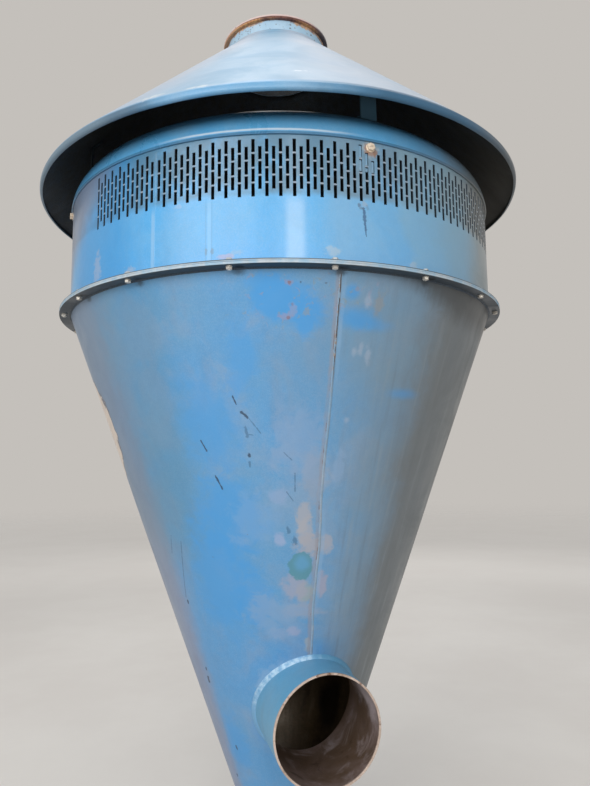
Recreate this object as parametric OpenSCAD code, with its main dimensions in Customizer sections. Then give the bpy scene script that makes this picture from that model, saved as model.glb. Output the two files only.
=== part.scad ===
// Cyclone separator: slotted drum on a long cone, under an open conical hood.
// The axis stands along +Z and the origin is the centre of the outlet flange's lower face.
// Azimuth 0 is the front (-Y) and grows towards +X.

/* [Outlet] */
// Outside diameter of the outlet spigot
outlet_d = 150; // [100:5:240]
// Wall of the outlet spigot
outlet_wall = 3; // [2:0.5:5]
// Length of the spigot, from the flange face to the cone
outlet_h = 60; // [40:5:120]
// Outside diameter of the outlet flange
outlet_flange_d = 230; // [220:5:320]
// Thickness of the outlet flange
outlet_flange_t = 8; // [5:1:16]
// Bolt circle of the outlet flange
outlet_bolt_pcd = 195; // [185:5:200]
// Number of holes in the outlet flange
outlet_bolt_n = 8; // [4:4:12]
// Hole diameter in the outlet flange
outlet_bolt_hole = 12; // [8:1:16]

/* [Cone] */
// Height of the cone, from the spigot to the top of its flange
cone_h = 1184; // [1000:4:1500]
// Thickness of the cone plate
cone_t = 3; // [2:0.5:5]
// Azimuth of the cone's weld seam
cone_seam_az = 12.2; // [0:0.2:30]
// Width of the seam's weld bead
seam_w = 6; // [4:1:16]
// Height of the seam's weld bead above the plate
seam_rise = 1.5; // [1:0.5:4]

/* [Side pipe] */
// Outside diameter of the side pipe
pipe_d = 210; // [140:5:220]
// Wall of the side pipe
pipe_wall = 4; // [2:0.5:6]
// Azimuth of the side pipe
pipe_az = 14.1; // [0:0.1:30]
// Height of the pipe's axis above the outlet face
pipe_z = 410; // [360:2:600]
// Distance from the cone's axis to the pipe's mouth
pipe_reach = 335; // [320:1:450]

/* [Body flanges] */
// Width of each body flange ring
flange_w = 23; // [18:1:50]
// Thickness of each body flange ring
flange_t = 4; // [3:0.5:10]
// Thickness of the gasket between the rings
gasket_t = 1; // [0.5:0.5:3]
// How far the gasket's rim stays back from the rings' rim
gasket_inset = 0.5; // [0:0.5:5]
// Number of bolts round the body flange
flange_bolt_n = 18; // [12:2:36]
// Hole diameter for the body flange bolts
flange_bolt_hole = 9; // [6:1:12]

/* [Drum] */
// Outside diameter of the drum
drum_d = 1000; // [900:10:1200]
// Thickness of the drum sheet
drum_t = 3; // [2:0.5:5]
// Height of the drum sheet
drum_h = 240; // [210:2:340]
// Azimuth of the butt joint where the sheet's two ends meet
drum_seam_az = -27.15; // [-35:0.05:-20]

/* [Slots] */
// Width of one slot
slot_w = 6; // [4:0.1:7]
// Length of one slot
slot_l = 24; // [16:0.5:25]
// Spacing of the slots up one column
slot_row_pitch = 27.2; // [26:0.1:32]
// Number of slots in each long column
slot_rows = 4; // [3:1:5]
// Spacing of neighbouring columns round the drum, before it is evened out over a bay
slot_column_pitch = 12.12; // [10:0.02:16]
// Plain margin between the sheet's top edge and the highest slots
slot_top_margin = 12; // [8:1:20]
// Extra plain margin on each side of the sheet's joint
slot_seam_margin = 1.75; // [1:0.25:6]
// Angle of one slotted bay
bay_angle = 33.33; // [30:0.01:33.5]
// Number of columns on the short side of the joint
short_columns = 14; // [6:2:16]

/* [Shoulder] */
// Outer radius of the shoulder's knuckle
knuckle_r = 84; // [70:1:110]
// Thickness of the shoulder plate
shoulder_t = 3; // [2:0.5:5]
// How far the shoulder's lip laps down over the drum sheet
lip_lap = 4; // [2:0.5:10]
// Height from the knuckle's centre line to the drum sheet's top edge
knuckle_drop = 10; // [6:1:20]
// Width of the flat band inside the knuckle
shoulder_band_w = 20; // [10:1:40]

/* [Cleats and legs] */
// Width of the cleats that carry the shoulder
cleat_w = 36; // [20:1:40]
// How far a cleat's middle lies from its bolt, round the drum
cleat_offset = -6; // [-8:1:8]
// Thickness of a cleat
cleat_t = 3; // [2:0.5:6]
// Length of a cleat below the drum sheet's top edge
cleat_drop = 60; // [40:2:80]
// Azimuth of the first cleat
cleat_az = 19.1; // [10:0.1:25]
// Distance of a cleat's bolt below the drum sheet's top edge
cleat_bolt_drop = 15; // [10:1:30]
// Hole diameter for a cleat's bolt
cleat_bolt_hole = 9; // [6:1:12]
// Azimuth of the first hood leg
leg_az = 21.2; // [15:0.1:30]
// Width of a hood leg
leg_w = 33; // [20:1:45]
// Thickness of a hood leg
leg_t = 4; // [3:0.5:6]
// Angle on the knuckle at which a leg stands up from the shoulder
leg_stand_angle = 60; // [50:1:75]
// Length of the tab that lies under the hood
leg_tab = 30; // [15:1:50]

/* [Hood] */
// Outside diameter over the hood's lip
hood_d = 1144; // [1080:4:1300]
// Thickness of the hood plate
hood_t = 3; // [2:0.5:5]
// Rise of the hood's cone for each unit towards the axis
hood_slope = 0.952; // [0.7:0.01:1.1]
// Height of the lip's lower edge above the drum sheet's top edge
hood_lift = 35; // [20:1:80]
// Height of the lip's straight band
lip_band_h = 4; // [2:1:30]
// Outer radius of the bend between lip and cone
lip_top_r = 8; // [6:0.5:16]
// Outer radius of the roll at the lip's lower edge
lip_roll_r = 6; // [4:0.5:12]
// How far the hood leans out of level, right side up
hood_tilt = 1.04; // [0:0.01:2]

/* [Collar] */
// Outside diameter of the collar
collar_d = 257; // [200:1:320]
// Wall of the collar
collar_wall = 3; // [2:0.5:5]
// Height of the collar above its seat on the hood
collar_h = 38; // [20:1:80]
// How far the collar reaches down inside the hood
collar_tail = 10; // [5:1:30]
// Radial thickness of the hoop round the collar's mouth
hoop_t = 8.5; // [3:0.5:12]
// Height of the hoop round the collar's mouth
hoop_h = 10; // [6:1:30]

/* [Fits] */
// Gap between a plate and the round seat that it is welded to
weld_gap = 0.3; // [0.1:0.1:0.6]

/* [Hidden] */
$fn = 128;
// How far a cutting tool runs past the face that it leaves
cut = 1;

// Each of these has a node for every copy.
slot_bays = 9;
leg_n = 4;
// The body flange's front bolts stand off an even spacing by these angles, counted from the front.
flange_bolt_shift = [0.5, 1, 2.2, 0, 0, 0, 0, 0, 0, 0, 0, 0, 0, 0, 0, -2, -2.9, 0.1];

outlet_r = outlet_d / 2;
drum_r = drum_d / 2;
drum_in_r = drum_r - drum_t;
cone_top_z = outlet_h + cone_h;
cone_tan = (drum_r - outlet_r) / cone_h;
cone_angle = atan(cone_tan);
cone_wall_x = cone_t / cos(cone_angle);
function cone_r(z) = outlet_r + (z - outlet_h) * cone_tan;

pipe_r = pipe_d / 2;

flange_low_z = cone_top_z - flange_t;
drum_z = cone_top_z + gasket_t;
drum_top_z = drum_z + drum_h;
flange_in_r = drum_r + weld_gap;
flange_out_r = drum_r + flange_w;
flange_pcd_r = drum_r + flange_w / 2 + weld_gap;

// The slotted bays share out whole columns, so their spacing is evened out.
mm_to_deg = 180 / (PI * drum_r);
bay_columns = 2 * round(bay_angle / mm_to_deg / slot_column_pitch / 2);
column_step = bay_angle / bay_columns;
seam_margin_angle = slot_seam_margin * mm_to_deg;
long_start = drum_seam_az + seam_margin_angle;
short_start = drum_seam_az - seam_margin_angle - short_columns * column_step;
slot_top_z = drum_top_z - slot_top_margin;
cleat_bolt_z = drum_top_z - cleat_bolt_drop;
slot_bolt_clear = cleat_bolt_hole / 2 + slot_w;
// A slot's cutter also clears the sheet's bulge over half its width.
slot_cut = cut + drum_r - sqrt(pow(drum_r, 2) - pow(slot_w / 2, 2));

// The shoulder's knuckle clears the top edge of the drum sheet by the weld gap.
knuckle_in_r = knuckle_r - shoulder_t;
knuckle_x = drum_r + weld_gap - sqrt(pow(knuckle_in_r, 2) - pow(knuckle_drop, 2));
knuckle_z = drum_top_z - knuckle_drop;
shoulder_in_r = knuckle_x - shoulder_band_w;

cleat_face_r = sqrt(pow(drum_in_r - weld_gap / 2, 2) - pow(cleat_w / 2, 2));
cleat_top_z = knuckle_z
    + sqrt(pow(knuckle_in_r - weld_gap, 2) - pow(drum_in_r - weld_gap / 2 - knuckle_x, 2));

hood_r = hood_d / 2;
hood_low_z = drum_top_z + hood_lift;
hood_angle = atan(hood_slope);
lip_band_z = hood_low_z + lip_roll_r;
lip_bend_z = lip_band_z + lip_band_h;
lip_bend_x = hood_r - lip_top_r;
// The hood's outer line leaves the lip's bend at its tangent point.
hood_start_x = lip_bend_x + lip_top_r * sin(hood_angle);
hood_start_z = lip_bend_z + lip_top_r * cos(hood_angle);
hood_drop_z = hood_t / cos(hood_angle);
function hood_z(r) = hood_start_z + (hood_start_x - r) * hood_slope;
collar_r = collar_d / 2;
collar_seat_z = hood_z(collar_r);
collar_top_z = collar_seat_z + collar_h;

paint = "steelblue";
pale_paint = "lightsteelblue";
rubber = "dimgray";
rust = "sienna";

// Turns what is drawn along +X to an azimuth.
module at_az(az) { rotate([0, 0, az - 90]) children(); }

// A revolved profile between two azimuths.
module sector(from_az, to_az) {
    at_az(from_az) rotate_extrude(angle = to_az - from_az) children();
}

// One of four equal parts of a revolved profile, centred on an azimuth.
module quarter(k, mid_az = 0) { sector(mid_az + (k - 0.5) * 90, mid_az + (k + 0.5) * 90) children(); }

// The hood with its collar leans about the Y axis at the lip's height.
module lean() {
    translate([0, 0, hood_low_z]) rotate([0, -hood_tilt, 0]) translate([0, 0, -hood_low_z]) children();
}

module tube(r_out, wall, h) {
    difference() {
        cylinder(r = r_out, h = h);
        translate([0, 0, -cut]) cylinder(r = r_out - wall, h = h + 2 * cut);
    }
}

// A strip of constant thickness along a path in the plane, with mitred corners.
function left_of(v) = [-v.y, v.x] / norm(v);
function mitre(p, i) =
    let (a = left_of(p[max(i, 1)] - p[max(i, 1) - 1]),
         b = left_of(p[min(i + 1, len(p) - 1)] - p[min(i + 1, len(p) - 1) - 1]),
         n = (a + b) / norm(a + b))
    n / (n * a);
function strip(p, t) = concat(
    [for (i = [0 : len(p) - 1]) p[i] + mitre(p, i) * t / 2],
    [for (i = [len(p) - 1 : -1 : 0]) p[i] - mitre(p, i) * t / 2]);

module bolt_ring(n, r, d, z, h, shift = []) {
    for (i = [0 : n - 1])
        at_az((i + 0.5) * 360 / n + (i < len(shift) ? shift[i] : 0))
            translate([r, 0, z]) cylinder(d = d, h = h);
}

module outlet_flange() {
    color(paint) difference() {
        cylinder(d = outlet_flange_d, h = outlet_flange_t);
        translate([0, 0, -cut]) cylinder(r = outlet_r + weld_gap, h = outlet_flange_t + 2 * cut);
        bolt_ring(outlet_bolt_n, outlet_bolt_pcd / 2, outlet_bolt_hole, -cut, outlet_flange_t + 2 * cut);
    }
}

module outlet_spigot() { color(paint) tube(outlet_r, outlet_wall, outlet_h); }

module cone_profile() {
    polygon([
        [outlet_r, outlet_h], [drum_r, cone_top_z],
        [drum_r - cone_wall_x, cone_top_z], [outlet_r - cone_wall_x, outlet_h]
    ]);
}

// The space inside an outward offset of the cone's outer surface.
module cone_solid(offset_x) {
    translate([0, 0, outlet_h])
        cylinder(r1 = outlet_r + offset_x, r2 = drum_r + offset_x, h = cone_h);
}

module cone_quarter(k) { color(paint) quarter(k, cone_seam_az) cone_profile(); }

// Stands what is drawn along Z on the side pipe's axis.
module on_pipe_axis() { translate([0, 0, pipe_z]) at_az(pipe_az) rotate([0, 90, 0]) children(); }

module cone_front() {
    color(paint) difference() {
        cone_quarter(0);
        on_pipe_axis() cylinder(r = pipe_r + weld_gap, h = pipe_reach);
    }
}

module cone_right() { cone_quarter(1); }

module cone_back() { cone_quarter(2); }

module cone_left() { cone_quarter(3); }

// The weld bead runs down the seam from the flange to the side pipe.
module cone_seam() {
    top_z = flange_low_z - seam_w;
    low_z = pipe_z + pipe_r + seam_w;
    crown = [for (i = [-2 : 2]) [seam_rise * (1 - pow(i / 2, 2)), i * seam_w / 4]];
    color(paint) at_az(cone_seam_az) translate([cone_r(low_z), 0, low_z]) rotate([0, cone_angle, 0])
        linear_extrude((top_z - low_z) / cos(cone_angle)) polygon(crown);
}

// The pipe passes through the cone plate and ends flush with its inside.
module side_pipe() {
    color(paint) difference() {
        on_pipe_axis() cylinder(r = pipe_r, h = pipe_reach);
        on_pipe_axis() translate([0, 0, -cut])
            cylinder(r = pipe_r - pipe_wall, h = pipe_reach + 2 * cut);
        cone_solid(-cone_wall_x);
    }
}

module body_ring(r_in, r_out, z, t) {
    difference() {
        translate([0, 0, z]) cylinder(r = r_out, h = t);
        translate([0, 0, z - cut]) cylinder(r = r_in, h = t + 2 * cut);
        bolt_ring(flange_bolt_n, flange_pcd_r, flange_bolt_hole, z - cut, t + 2 * cut, flange_bolt_shift);
    }
}

module lower_flange() { color(paint) body_ring(flange_in_r, flange_out_r, flange_low_z, flange_t); }

module flange_gasket() {
    color(rubber) body_ring(drum_in_r, flange_out_r - gasket_inset, cone_top_z, gasket_t);
}

module upper_flange() { color(paint) body_ring(flange_in_r, flange_out_r, drum_z, flange_t); }

module drum_wall(from_az, to_az) {
    sector(from_az, to_az) translate([drum_in_r, drum_z]) square([drum_t, drum_h]);
}

// Shortest angle between two azimuths.
function az_gap(a, b) = abs((a - b + 540) % 360 - 180);

// True where a slot would run into a cleat's bolt.
function at_bolt(az, z) = min([for (k = [0 : leg_n - 1])
    norm([az_gap(az, cleat_az + k * 360 / leg_n) / mm_to_deg,
          max(0, abs(z - cleat_bolt_z) - slot_l / 2)])]) < slot_bolt_clear;

// One column: long columns hold every row, short ones sit half a pitch lower with one row less.
module slot_column(az, long) {
    first_z = slot_top_z - slot_l / 2 - (long ? 0 : slot_row_pitch / 2);
    for (i = [0 : slot_rows - (long ? 1 : 2)]) {
        z = first_z - i * slot_row_pitch;
        if (!at_bolt(az, z))
            at_az(az) translate([drum_r - drum_t / 2, 0, z])
                cube([drum_t + 2 * slot_cut, slot_w, slot_l], center = true);
    }
}

module bolt_bores(from_az, to_az) {
    for (k = [0 : leg_n - 1]) {
        az = cleat_az + k * 360 / leg_n;
        if ((az > from_az && az < to_az) || (az - 360 > from_az && az - 360 < to_az)) at_az(az)
            translate([drum_in_r - cut, 0, cleat_bolt_z]) rotate([0, 90, 0])
                cylinder(d = cleat_bolt_hole, h = drum_t + 2 * cut);
    }
}

// Bay k on the long side of the joint; the first bay also holds the joint's margin.
module slot_panel(k) {
    from_az = long_start + k * bay_angle;
    edge_az = k == 0 ? drum_seam_az : from_az;
    to_az = from_az + bay_angle;
    color(paint) difference() {
        drum_wall(edge_az, to_az);
        for (j = [0 : bay_columns - 1])
            slot_column(from_az + (j + 0.5) * column_step, j % 2 == 1);
        bolt_bores(edge_az, to_az);
    }
}

// The bay on the short side of the joint.
module slot_panel_short() {
    color(paint) difference() {
        drum_wall(short_start, drum_seam_az);
        for (j = [0 : short_columns - 1])
            slot_column(short_start + (j + 0.5) * column_step, j % 2 == 0);
    }
}

// The sheet is plain between the end of the long run and the short bay.
module plain_panel() {
    from_az = long_start + slot_bays * bay_angle - 360;
    color(paint) difference() {
        drum_wall(from_az, short_start);
        bolt_bores(from_az, short_start);
    }
}

module shoulder_profile() {
    translate([knuckle_x, knuckle_z]) intersection() {
        difference() {
            circle(r = knuckle_r);
            circle(r = knuckle_in_r);
        }
        translate([0, knuckle_drop - lip_lap]) square(knuckle_r + cut);
    }
    translate([shoulder_in_r, knuckle_z + knuckle_in_r]) square([shoulder_band_w, shoulder_t]);
}

module shoulder_quarter(k) { color(paint) quarter(k) shoulder_profile(); }

module shoulder_front() { shoulder_quarter(0); }

module shoulder_right() { shoulder_quarter(1); }

module shoulder_back() { shoulder_quarter(2); }

module shoulder_left() { shoulder_quarter(3); }

// A cleat stands against the inside of the drum sheet and reaches up to the shoulder.
module ring_cleat(k) {
    low_z = drum_top_z - cleat_drop;
    color(paint) rotate([0, 0, k * 360 / leg_n]) difference() {
        at_az(cleat_az + cleat_offset * mm_to_deg)
            translate([cleat_face_r - cleat_t, -cleat_w / 2, low_z])
                cube([cleat_t, cleat_w, cleat_top_z - low_z]);
        at_az(cleat_az) translate([cleat_face_r - cleat_t - cut, 0, cleat_bolt_z]) rotate([0, 90, 0])
            cylinder(d = cleat_bolt_hole, h = cleat_t + 2 * cut);
    }
}

// Height of the leaning hood's inner surface over a point, found by repeating the lean.
function hood_under(r, az, n = 4, rise = 0) =
    n == 0 ? hood_low_z + rise :
    let (x = r * sin(az), y = r * cos(az),
         r_h = norm([x * cos(hood_tilt) + rise * sin(hood_tilt), y]))
    hood_under(r, az, n - 1,
        (hood_z(r_h) - hood_drop_z - hood_low_z + x * sin(hood_tilt)) / cos(hood_tilt));

// A leg's foot lies on the shoulder, its shank stands up and its tab lies under the hood.
module hood_leg(k) {
    az = leg_az + k * 360 / leg_n;
    foot_r = knuckle_r + weld_gap + leg_t / 2;
    stand_x = knuckle_x + foot_r * cos(leg_stand_angle);
    tab_x = stand_x - leg_tab * cos(hood_angle);
    edge_drop = (norm([tab_x, leg_w / 2]) - tab_x) * hood_slope;
    tab_drop = (leg_t / 2 + weld_gap) / cos(hood_angle) + edge_drop;
    path = concat(
        [for (a = [90 : -5 : leg_stand_angle]) [knuckle_x, knuckle_z] + foot_r * [cos(a), sin(a)]],
        [[stand_x, hood_under(stand_x, az) - tab_drop], [tab_x, hood_under(tab_x, az) - tab_drop]]);
    color(paint) at_az(az) rotate([90, 0, 0])
        linear_extrude(leg_w, center = true) polygon(strip(path, leg_t));
}

module hood_profile() {
    top_x = collar_r + weld_gap;
    foot = [hood_start_x, hood_start_z];
    inward = [-sin(hood_angle), -cos(hood_angle)] * hood_t;
    polygon([
        foot, [top_x, hood_z(top_x)],
        [top_x, hood_z(top_x) - hood_drop_z], foot + inward
    ]);
}

module hood_quarter(k) { color(pale_paint) lean() quarter(k) hood_profile(); }

module hood_front() { hood_quarter(0); }

module hood_right() { hood_quarter(1); }

module hood_back() { hood_quarter(2); }

module hood_left() { hood_quarter(3); }

// The part of a bend inside a fan of corners, as a plate of the hood's thickness.
module bend(r, corners) {
    intersection() {
        difference() {
            circle(r = r);
            circle(r = r - hood_t);
        }
        polygon(corners);
    }
}

// The lip turns down from the hood's edge and rolls in at the bottom.
module lip_profile() {
    far = 2 * max(lip_top_r, lip_roll_r);
    translate([lip_bend_x, lip_bend_z])
        bend(lip_top_r, [[0, 0], [far, 0], [far, far], far * [sin(hood_angle), cos(hood_angle)]]);
    translate([hood_r - hood_t, lip_band_z]) square([hood_t, lip_band_h]);
    translate([hood_r - lip_roll_r, lip_band_z])
        bend(lip_roll_r, [[0, 0], [0, -far], [far, -far], [far, 0]]);
}

module lip_quarter(k) { color(paint) lean() quarter(k) lip_profile(); }

module lip_front() { lip_quarter(0); }

module lip_right() { lip_quarter(1); }

module lip_back() { lip_quarter(2); }

module lip_left() { lip_quarter(3); }

module top_collar() {
    low_z = collar_seat_z - collar_tail;
    color(pale_paint) lean() translate([0, 0, low_z]) tube(collar_r, collar_wall, collar_top_z - low_z);
}

module collar_hoop() {
    color(rust) lean() translate([0, 0, collar_top_z - hoop_h])
        tube(collar_r + hoop_t, hoop_t - weld_gap, hoop_h);
}

outlet_flange();
outlet_spigot();
cone_front();
cone_right();
cone_back();
cone_left();
cone_seam();
side_pipe();
lower_flange();
flange_gasket();
upper_flange();
slot_panel(0);  // slot_panel_1
slot_panel(1);  // slot_panel_2
slot_panel(2);  // slot_panel_3
slot_panel(3);  // slot_panel_4
slot_panel(4);  // slot_panel_5
slot_panel(5);  // slot_panel_6
slot_panel(6);  // slot_panel_7
slot_panel(7);  // slot_panel_8
slot_panel(8);  // slot_panel_9
slot_panel_short();  // slot_panel_10
plain_panel();
shoulder_front();
shoulder_right();
shoulder_back();
shoulder_left();
ring_cleat(0);  // ring_cleat_1
ring_cleat(1);  // ring_cleat_2
ring_cleat(2);  // ring_cleat_3
ring_cleat(3);  // ring_cleat_4
hood_leg(0);  // hood_leg_1
hood_leg(1);  // hood_leg_2
hood_leg(2);  // hood_leg_3
hood_leg(3);  // hood_leg_4
hood_front();
hood_right();
hood_back();
hood_left();
lip_front();
lip_right();
lip_back();
lip_left();
top_collar();
collar_hoop();
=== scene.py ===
from math import asin, atan, ceil, cos, degrees, dist, hypot, pi, radians, sin, sqrt

import bpy
import bmesh
from mathutils import Matrix, Vector
from mathutils.noise import noise


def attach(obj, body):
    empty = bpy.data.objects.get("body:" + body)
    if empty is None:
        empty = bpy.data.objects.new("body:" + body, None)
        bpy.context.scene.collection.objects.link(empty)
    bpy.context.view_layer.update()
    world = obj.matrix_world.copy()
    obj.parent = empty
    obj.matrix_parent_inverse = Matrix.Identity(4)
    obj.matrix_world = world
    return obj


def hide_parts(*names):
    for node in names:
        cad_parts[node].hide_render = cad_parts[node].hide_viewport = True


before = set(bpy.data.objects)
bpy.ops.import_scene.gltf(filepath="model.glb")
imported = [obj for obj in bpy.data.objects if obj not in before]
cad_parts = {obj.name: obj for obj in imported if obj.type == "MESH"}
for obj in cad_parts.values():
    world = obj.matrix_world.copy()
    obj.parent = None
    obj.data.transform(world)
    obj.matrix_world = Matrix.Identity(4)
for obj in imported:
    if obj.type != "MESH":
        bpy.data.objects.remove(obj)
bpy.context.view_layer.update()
scene = bpy.context.scene

# Sizes in metres, as in the part's source. Azimuth 0 is the front and grows to the right.
SPIGOT_R, CONE_LOW, CONE_TOP, DRUM_R, PLATE = 0.075, 0.06, 1.244, 0.5, 0.003
APEX = 0.149  # depth of the cone's tip below the ground
CONE_TAN = (DRUM_R - SPIGOT_R) / (CONE_TOP - CONE_LOW)
CONE_TILT = atan(CONE_TAN)
ARC_PER_DEG = 0.00628  # metres of the cone's girth per degree and per metre above its tip
WALL_X = PLATE / cos(CONE_TILT)
PIPE_AZ, PIPE_Z, PIPE_R, PIPE_WALL, PIPE_REACH = 14.1, 0.41, 0.105, 0.004, 0.335
PIPE_GAP, PIPE_STEPS, MOUTH_EDGE, MOUTH_ROUND = 0.0003, 128, 0.0034, 0.0008
RING_LOW, RING_IN, RING_OUT, RING_T, BOLT_R = 1.24, 0.5003, 0.523, 0.004, 0.5118
DRUM_LOW, DRUM_TOP = 1.245, 1.485
JOINT_AZ = -27.15
KNUCKLE_R, KNUCKLE_X, KNUCKLE_Z, SKIRT, SHOULDER_IN = 0.084, 0.41992, 1.475, 0.006, 0.39992
HOOD_R, HOOD_LOW, HOOD_SLOPE, HOOD_LEAN = 0.572, 1.52, 0.952, 1.04
LIP_BEND, LIP_ROLL = 0.008, 0.006
COLLAR_R, COLLAR_SEAT, COLLAR_TOP = 0.1285, 1.9556, 1.9936
CLEAT_AZ, CLEAT_Z = 19.1, 1.47
BOLTS, BOLT_SHIFT = 18, {0: 0.5, 1: 1, 2: 2.2, 15: -2, 16: -2.9, 17: 0.1}
WASHER_T = 0.0014


def cone_r(z):
    return SPIGOT_R + (z - CONE_LOW) * CONE_TAN


def drum_r(z):
    return DRUM_R


def hood_r(z):
    return HOOD_R - max(0, z - 1.55) / HOOD_SLOPE


def polar(az, r, z):
    a = radians(az)
    return Vector((r * sin(a), -r * cos(a), z))


LEAN = (Matrix.Translation((0, 0, HOOD_LOW)) @ Matrix.Rotation(radians(-HOOD_LEAN), 4, "Y")
        @ Matrix.Translation((0, 0, -HOOD_LOW)))


# Marks seen on the paint. A row is azimuth, height, half width, half height, share and tone, which is
# 8-bit red, green and blue. A scratch is azimuth and height of both ends, and half its width.

# The seam's height and azimuth
SEAM = ((0.5, 13.3), (0.57, 12.9), (0.62, 12.2), (0.68, 12.3), (0.74, 12.6), (0.79, 12.3), (0.84, 11.9),
        (0.9, 11.9), (0.97, 12.2), (1.06, 12.3), (1.16, 12.3), (1.26, 12.2))

# Azimuth, radius, height, half width, half height, raggedness, softness, share
CLEAN_BLUE = (
    (-0.5, 0.48, 1.19, 0.058, 0.034, 0.5, 0.9, 0.9), (-4.2, 0.49, 1.215, 0.034, 0.016, 0.5, 0.9, 0.7),
    (5.5, 0.475, 1.165, 0.03, 0.04, 0.5, 0.9, 0.85), (15.2, 0.485, 1.205, 0.012, 0.012, 0.25, 1.5, 0.75),
    (16.4, 0.467, 1.162, 0.032, 0.017, 0.3, 1.6, 0.75), (20.6, 0.46, 1.152, 0.03, 0.009, 0.3, 1.8, 0.5),
    (33, 0.425, 1.035, 0.03, 0.008, 0.2, 1.8, 0.5), (-24, 0.3, 0.68, 0.06, 0.15, 0.35, 0.9, 0.7),
    (-12, 0.29, 0.64, 0.035, 0.07, 0.5, 0.9, 0.6), (-9.5, 0.45, 1.06, 0.03, 0.085, 0.5, 0.9, 0.55),
    (-38, 0.17, 0.3, 0.03, 0.09, 0.4, 0.9, 0.6), (-12, 0.2, 0.36, 0.035, 0.05, 0.4, 0.9, 0.5),
    (16.6, 0.25, 0.53, 0.014, 0.016, 0.3, 1.4, 0.3), (-19.5, 0.4, 0.98, 0.055, 0.1, 0.45, 1.2, 0.6),
    (-18, 0.34, 0.8, 0.068, 0.085, 0.45, 1.1, 0.75),
)

SCUFFS = (
    (6.2, 0.805, 0.014, 0.036, 0.8, 164, 168, 178), (7.4, 0.775, 0.016, 0.03, 0.7, 168, 170, 178),
    (10.5, 0.75, 0.03, 0.02, 0.85, 164, 166, 176), (15, 0.748, 0.012, 0.024, 0.7, 158, 166, 182),
    (8.8, 0.655, 0.018, 0.022, 0.8, 150, 164, 166), (4.6, 0.664, 0.024, 0.026, 0.7, 158, 162, 182),
    (14.2, 0.668, 0.011, 0.03, 0.75, 160, 160, 180), (8, 0.618, 0.034, 0.018, 0.7, 148, 162, 184),
    (4, 0.573, 0.014, 0.012, 0.6, 160, 168, 196), (-1.5, 0.572, 0.016, 0.012, 0.4, 150, 166, 194),
    (-4.5, 0.615, 0.048, 0.034, 0.6, 128, 162, 198), (-1, 0.762, 0.011, 0.013, 0.7, 156, 172, 206),
    (-1.5, 0.842, 0.018, 0.012, 0.4, 150, 170, 206), (10, 0.88, 0.024, 0.07, 0.5, 148, 160, 178),
    (4, 0.95, 0.05, 0.07, 0.4, 140, 164, 196), (-8, 0.8, 0.05, 0.05, 0.35, 128, 166, 206),
    (11.1, 0.548, 0.008, 0.04, 0.8, 160, 170, 178), (-9, 0.46, 0.022, 0.03, 0.5, 140, 172, 204),
    (-2, 0.5, 0.02, 0.014, 0.45, 140, 172, 204), (16.4, 0.9, 0.012, 0.11, 0.4, 140, 170, 204),
)

CONE_FLECKS = (
    (1.65, 1.2155, 0.0026, 0.0028, 0.8, 112, 86, 84), (1.6, 1.216, 0.007, 0.005, 0.35, 160, 134, 148),
    (4, 1.2165, 0.0016, 0.002, 0.7, 60, 84, 106), (9.2, 1.2165, 0.002, 0.0016, 0.6, 84, 92, 104),
    (1.55, 1.158, 0.0028, 0.0028, 0.8, 96, 84, 96), (0.9, 1.16, 0.01, 0.006, 0.4, 164, 140, 158),
    (2.3, 1.18, 0.0024, 0.003, 0.6, 104, 106, 124), (2.3, 1.173, 0.007, 0.01, 0.4, 158, 150, 172),
    (16.2, 1.21, 0.004, 0.004, 0.4, 156, 136, 126), (21.5, 1.19, 0.009, 0.024, 0.45, 150, 144, 134),
)

CONE_STREAKS = (
    (18.5, 1.108, 0.004, 0.014, 0.4, 170, 180, 198), (17, 1.104, 0.005, 0.008, 0.4, 170, 180, 198),
    (17.2, 0.984, 0.005, 0.006, 0.4, 170, 180, 198), (20.6, 1.1, 0.005, 0.03, 0.4, 170, 180, 198),
    (18.8, 1.19, 0.005, 0.02, 0.4, 170, 180, 198),
)

DARK_SCRATCHES = (
    (-12.3, 1.027, -11.5, 1.013, 0.0019), (-10.4, 0.999, -8.7, 0.988, 0.0031),
    (-22.8, 0.949, -21.5, 0.93, 0.0018), (-9.3, 0.9225, -9.1, 0.919, 0.0037),
    (-20, 0.883, -18.3, 0.858, 0.0022), (-48.9, 0.453, -49.3, 0.443, 0.004),
    (-48, 0.474, -48.2, 0.47, 0.0026), (-39.6, 0.306, -39.2, 0.298, 0.0026),
    (-46.2, 0.622, -46.4, 0.617, 0.0036), (-50.1, 0.231, -50.3, 0.226, 0.0024),
)

FAINT_SCRATCHES = (
    (-8.8, 0.99, -5.6, 0.96, 0.0015), (-9.6, 0.971, -9.3, 0.955, 0.0034), (-9.2, 0.959, -7.6, 0.957, 0.0012),
    (0.4, 0.925, 2.7, 0.911, 0.0013), (1.6, 0.782, 2, 0.774, 0.0048), (3.8, 0.762, 4.2, 0.752, 0.0058),
    (-44.7, 0.76, -47.4, 0.723, 0.0017), (-39.8, 0.75, -42.6, 0.7, 0.0018), (-42.6, 0.7, -46.8, 0.63, 0.0014),
    (-9.2, 0.908, -9.2, 0.9, 0.0026), (3.6, 0.887, 3.7, 0.853, 0.0016), (1.2, 0.852, 3.2, 0.835, 0.0014),
)

GOUGE = (
    (17.22, 1.353, 17.42, 1.332, 0.004), (17.4, 1.336, 17.62, 1.314, 0.0029),
    (17.6, 1.316, 17.72, 1.303, 0.0016),
)

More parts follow.
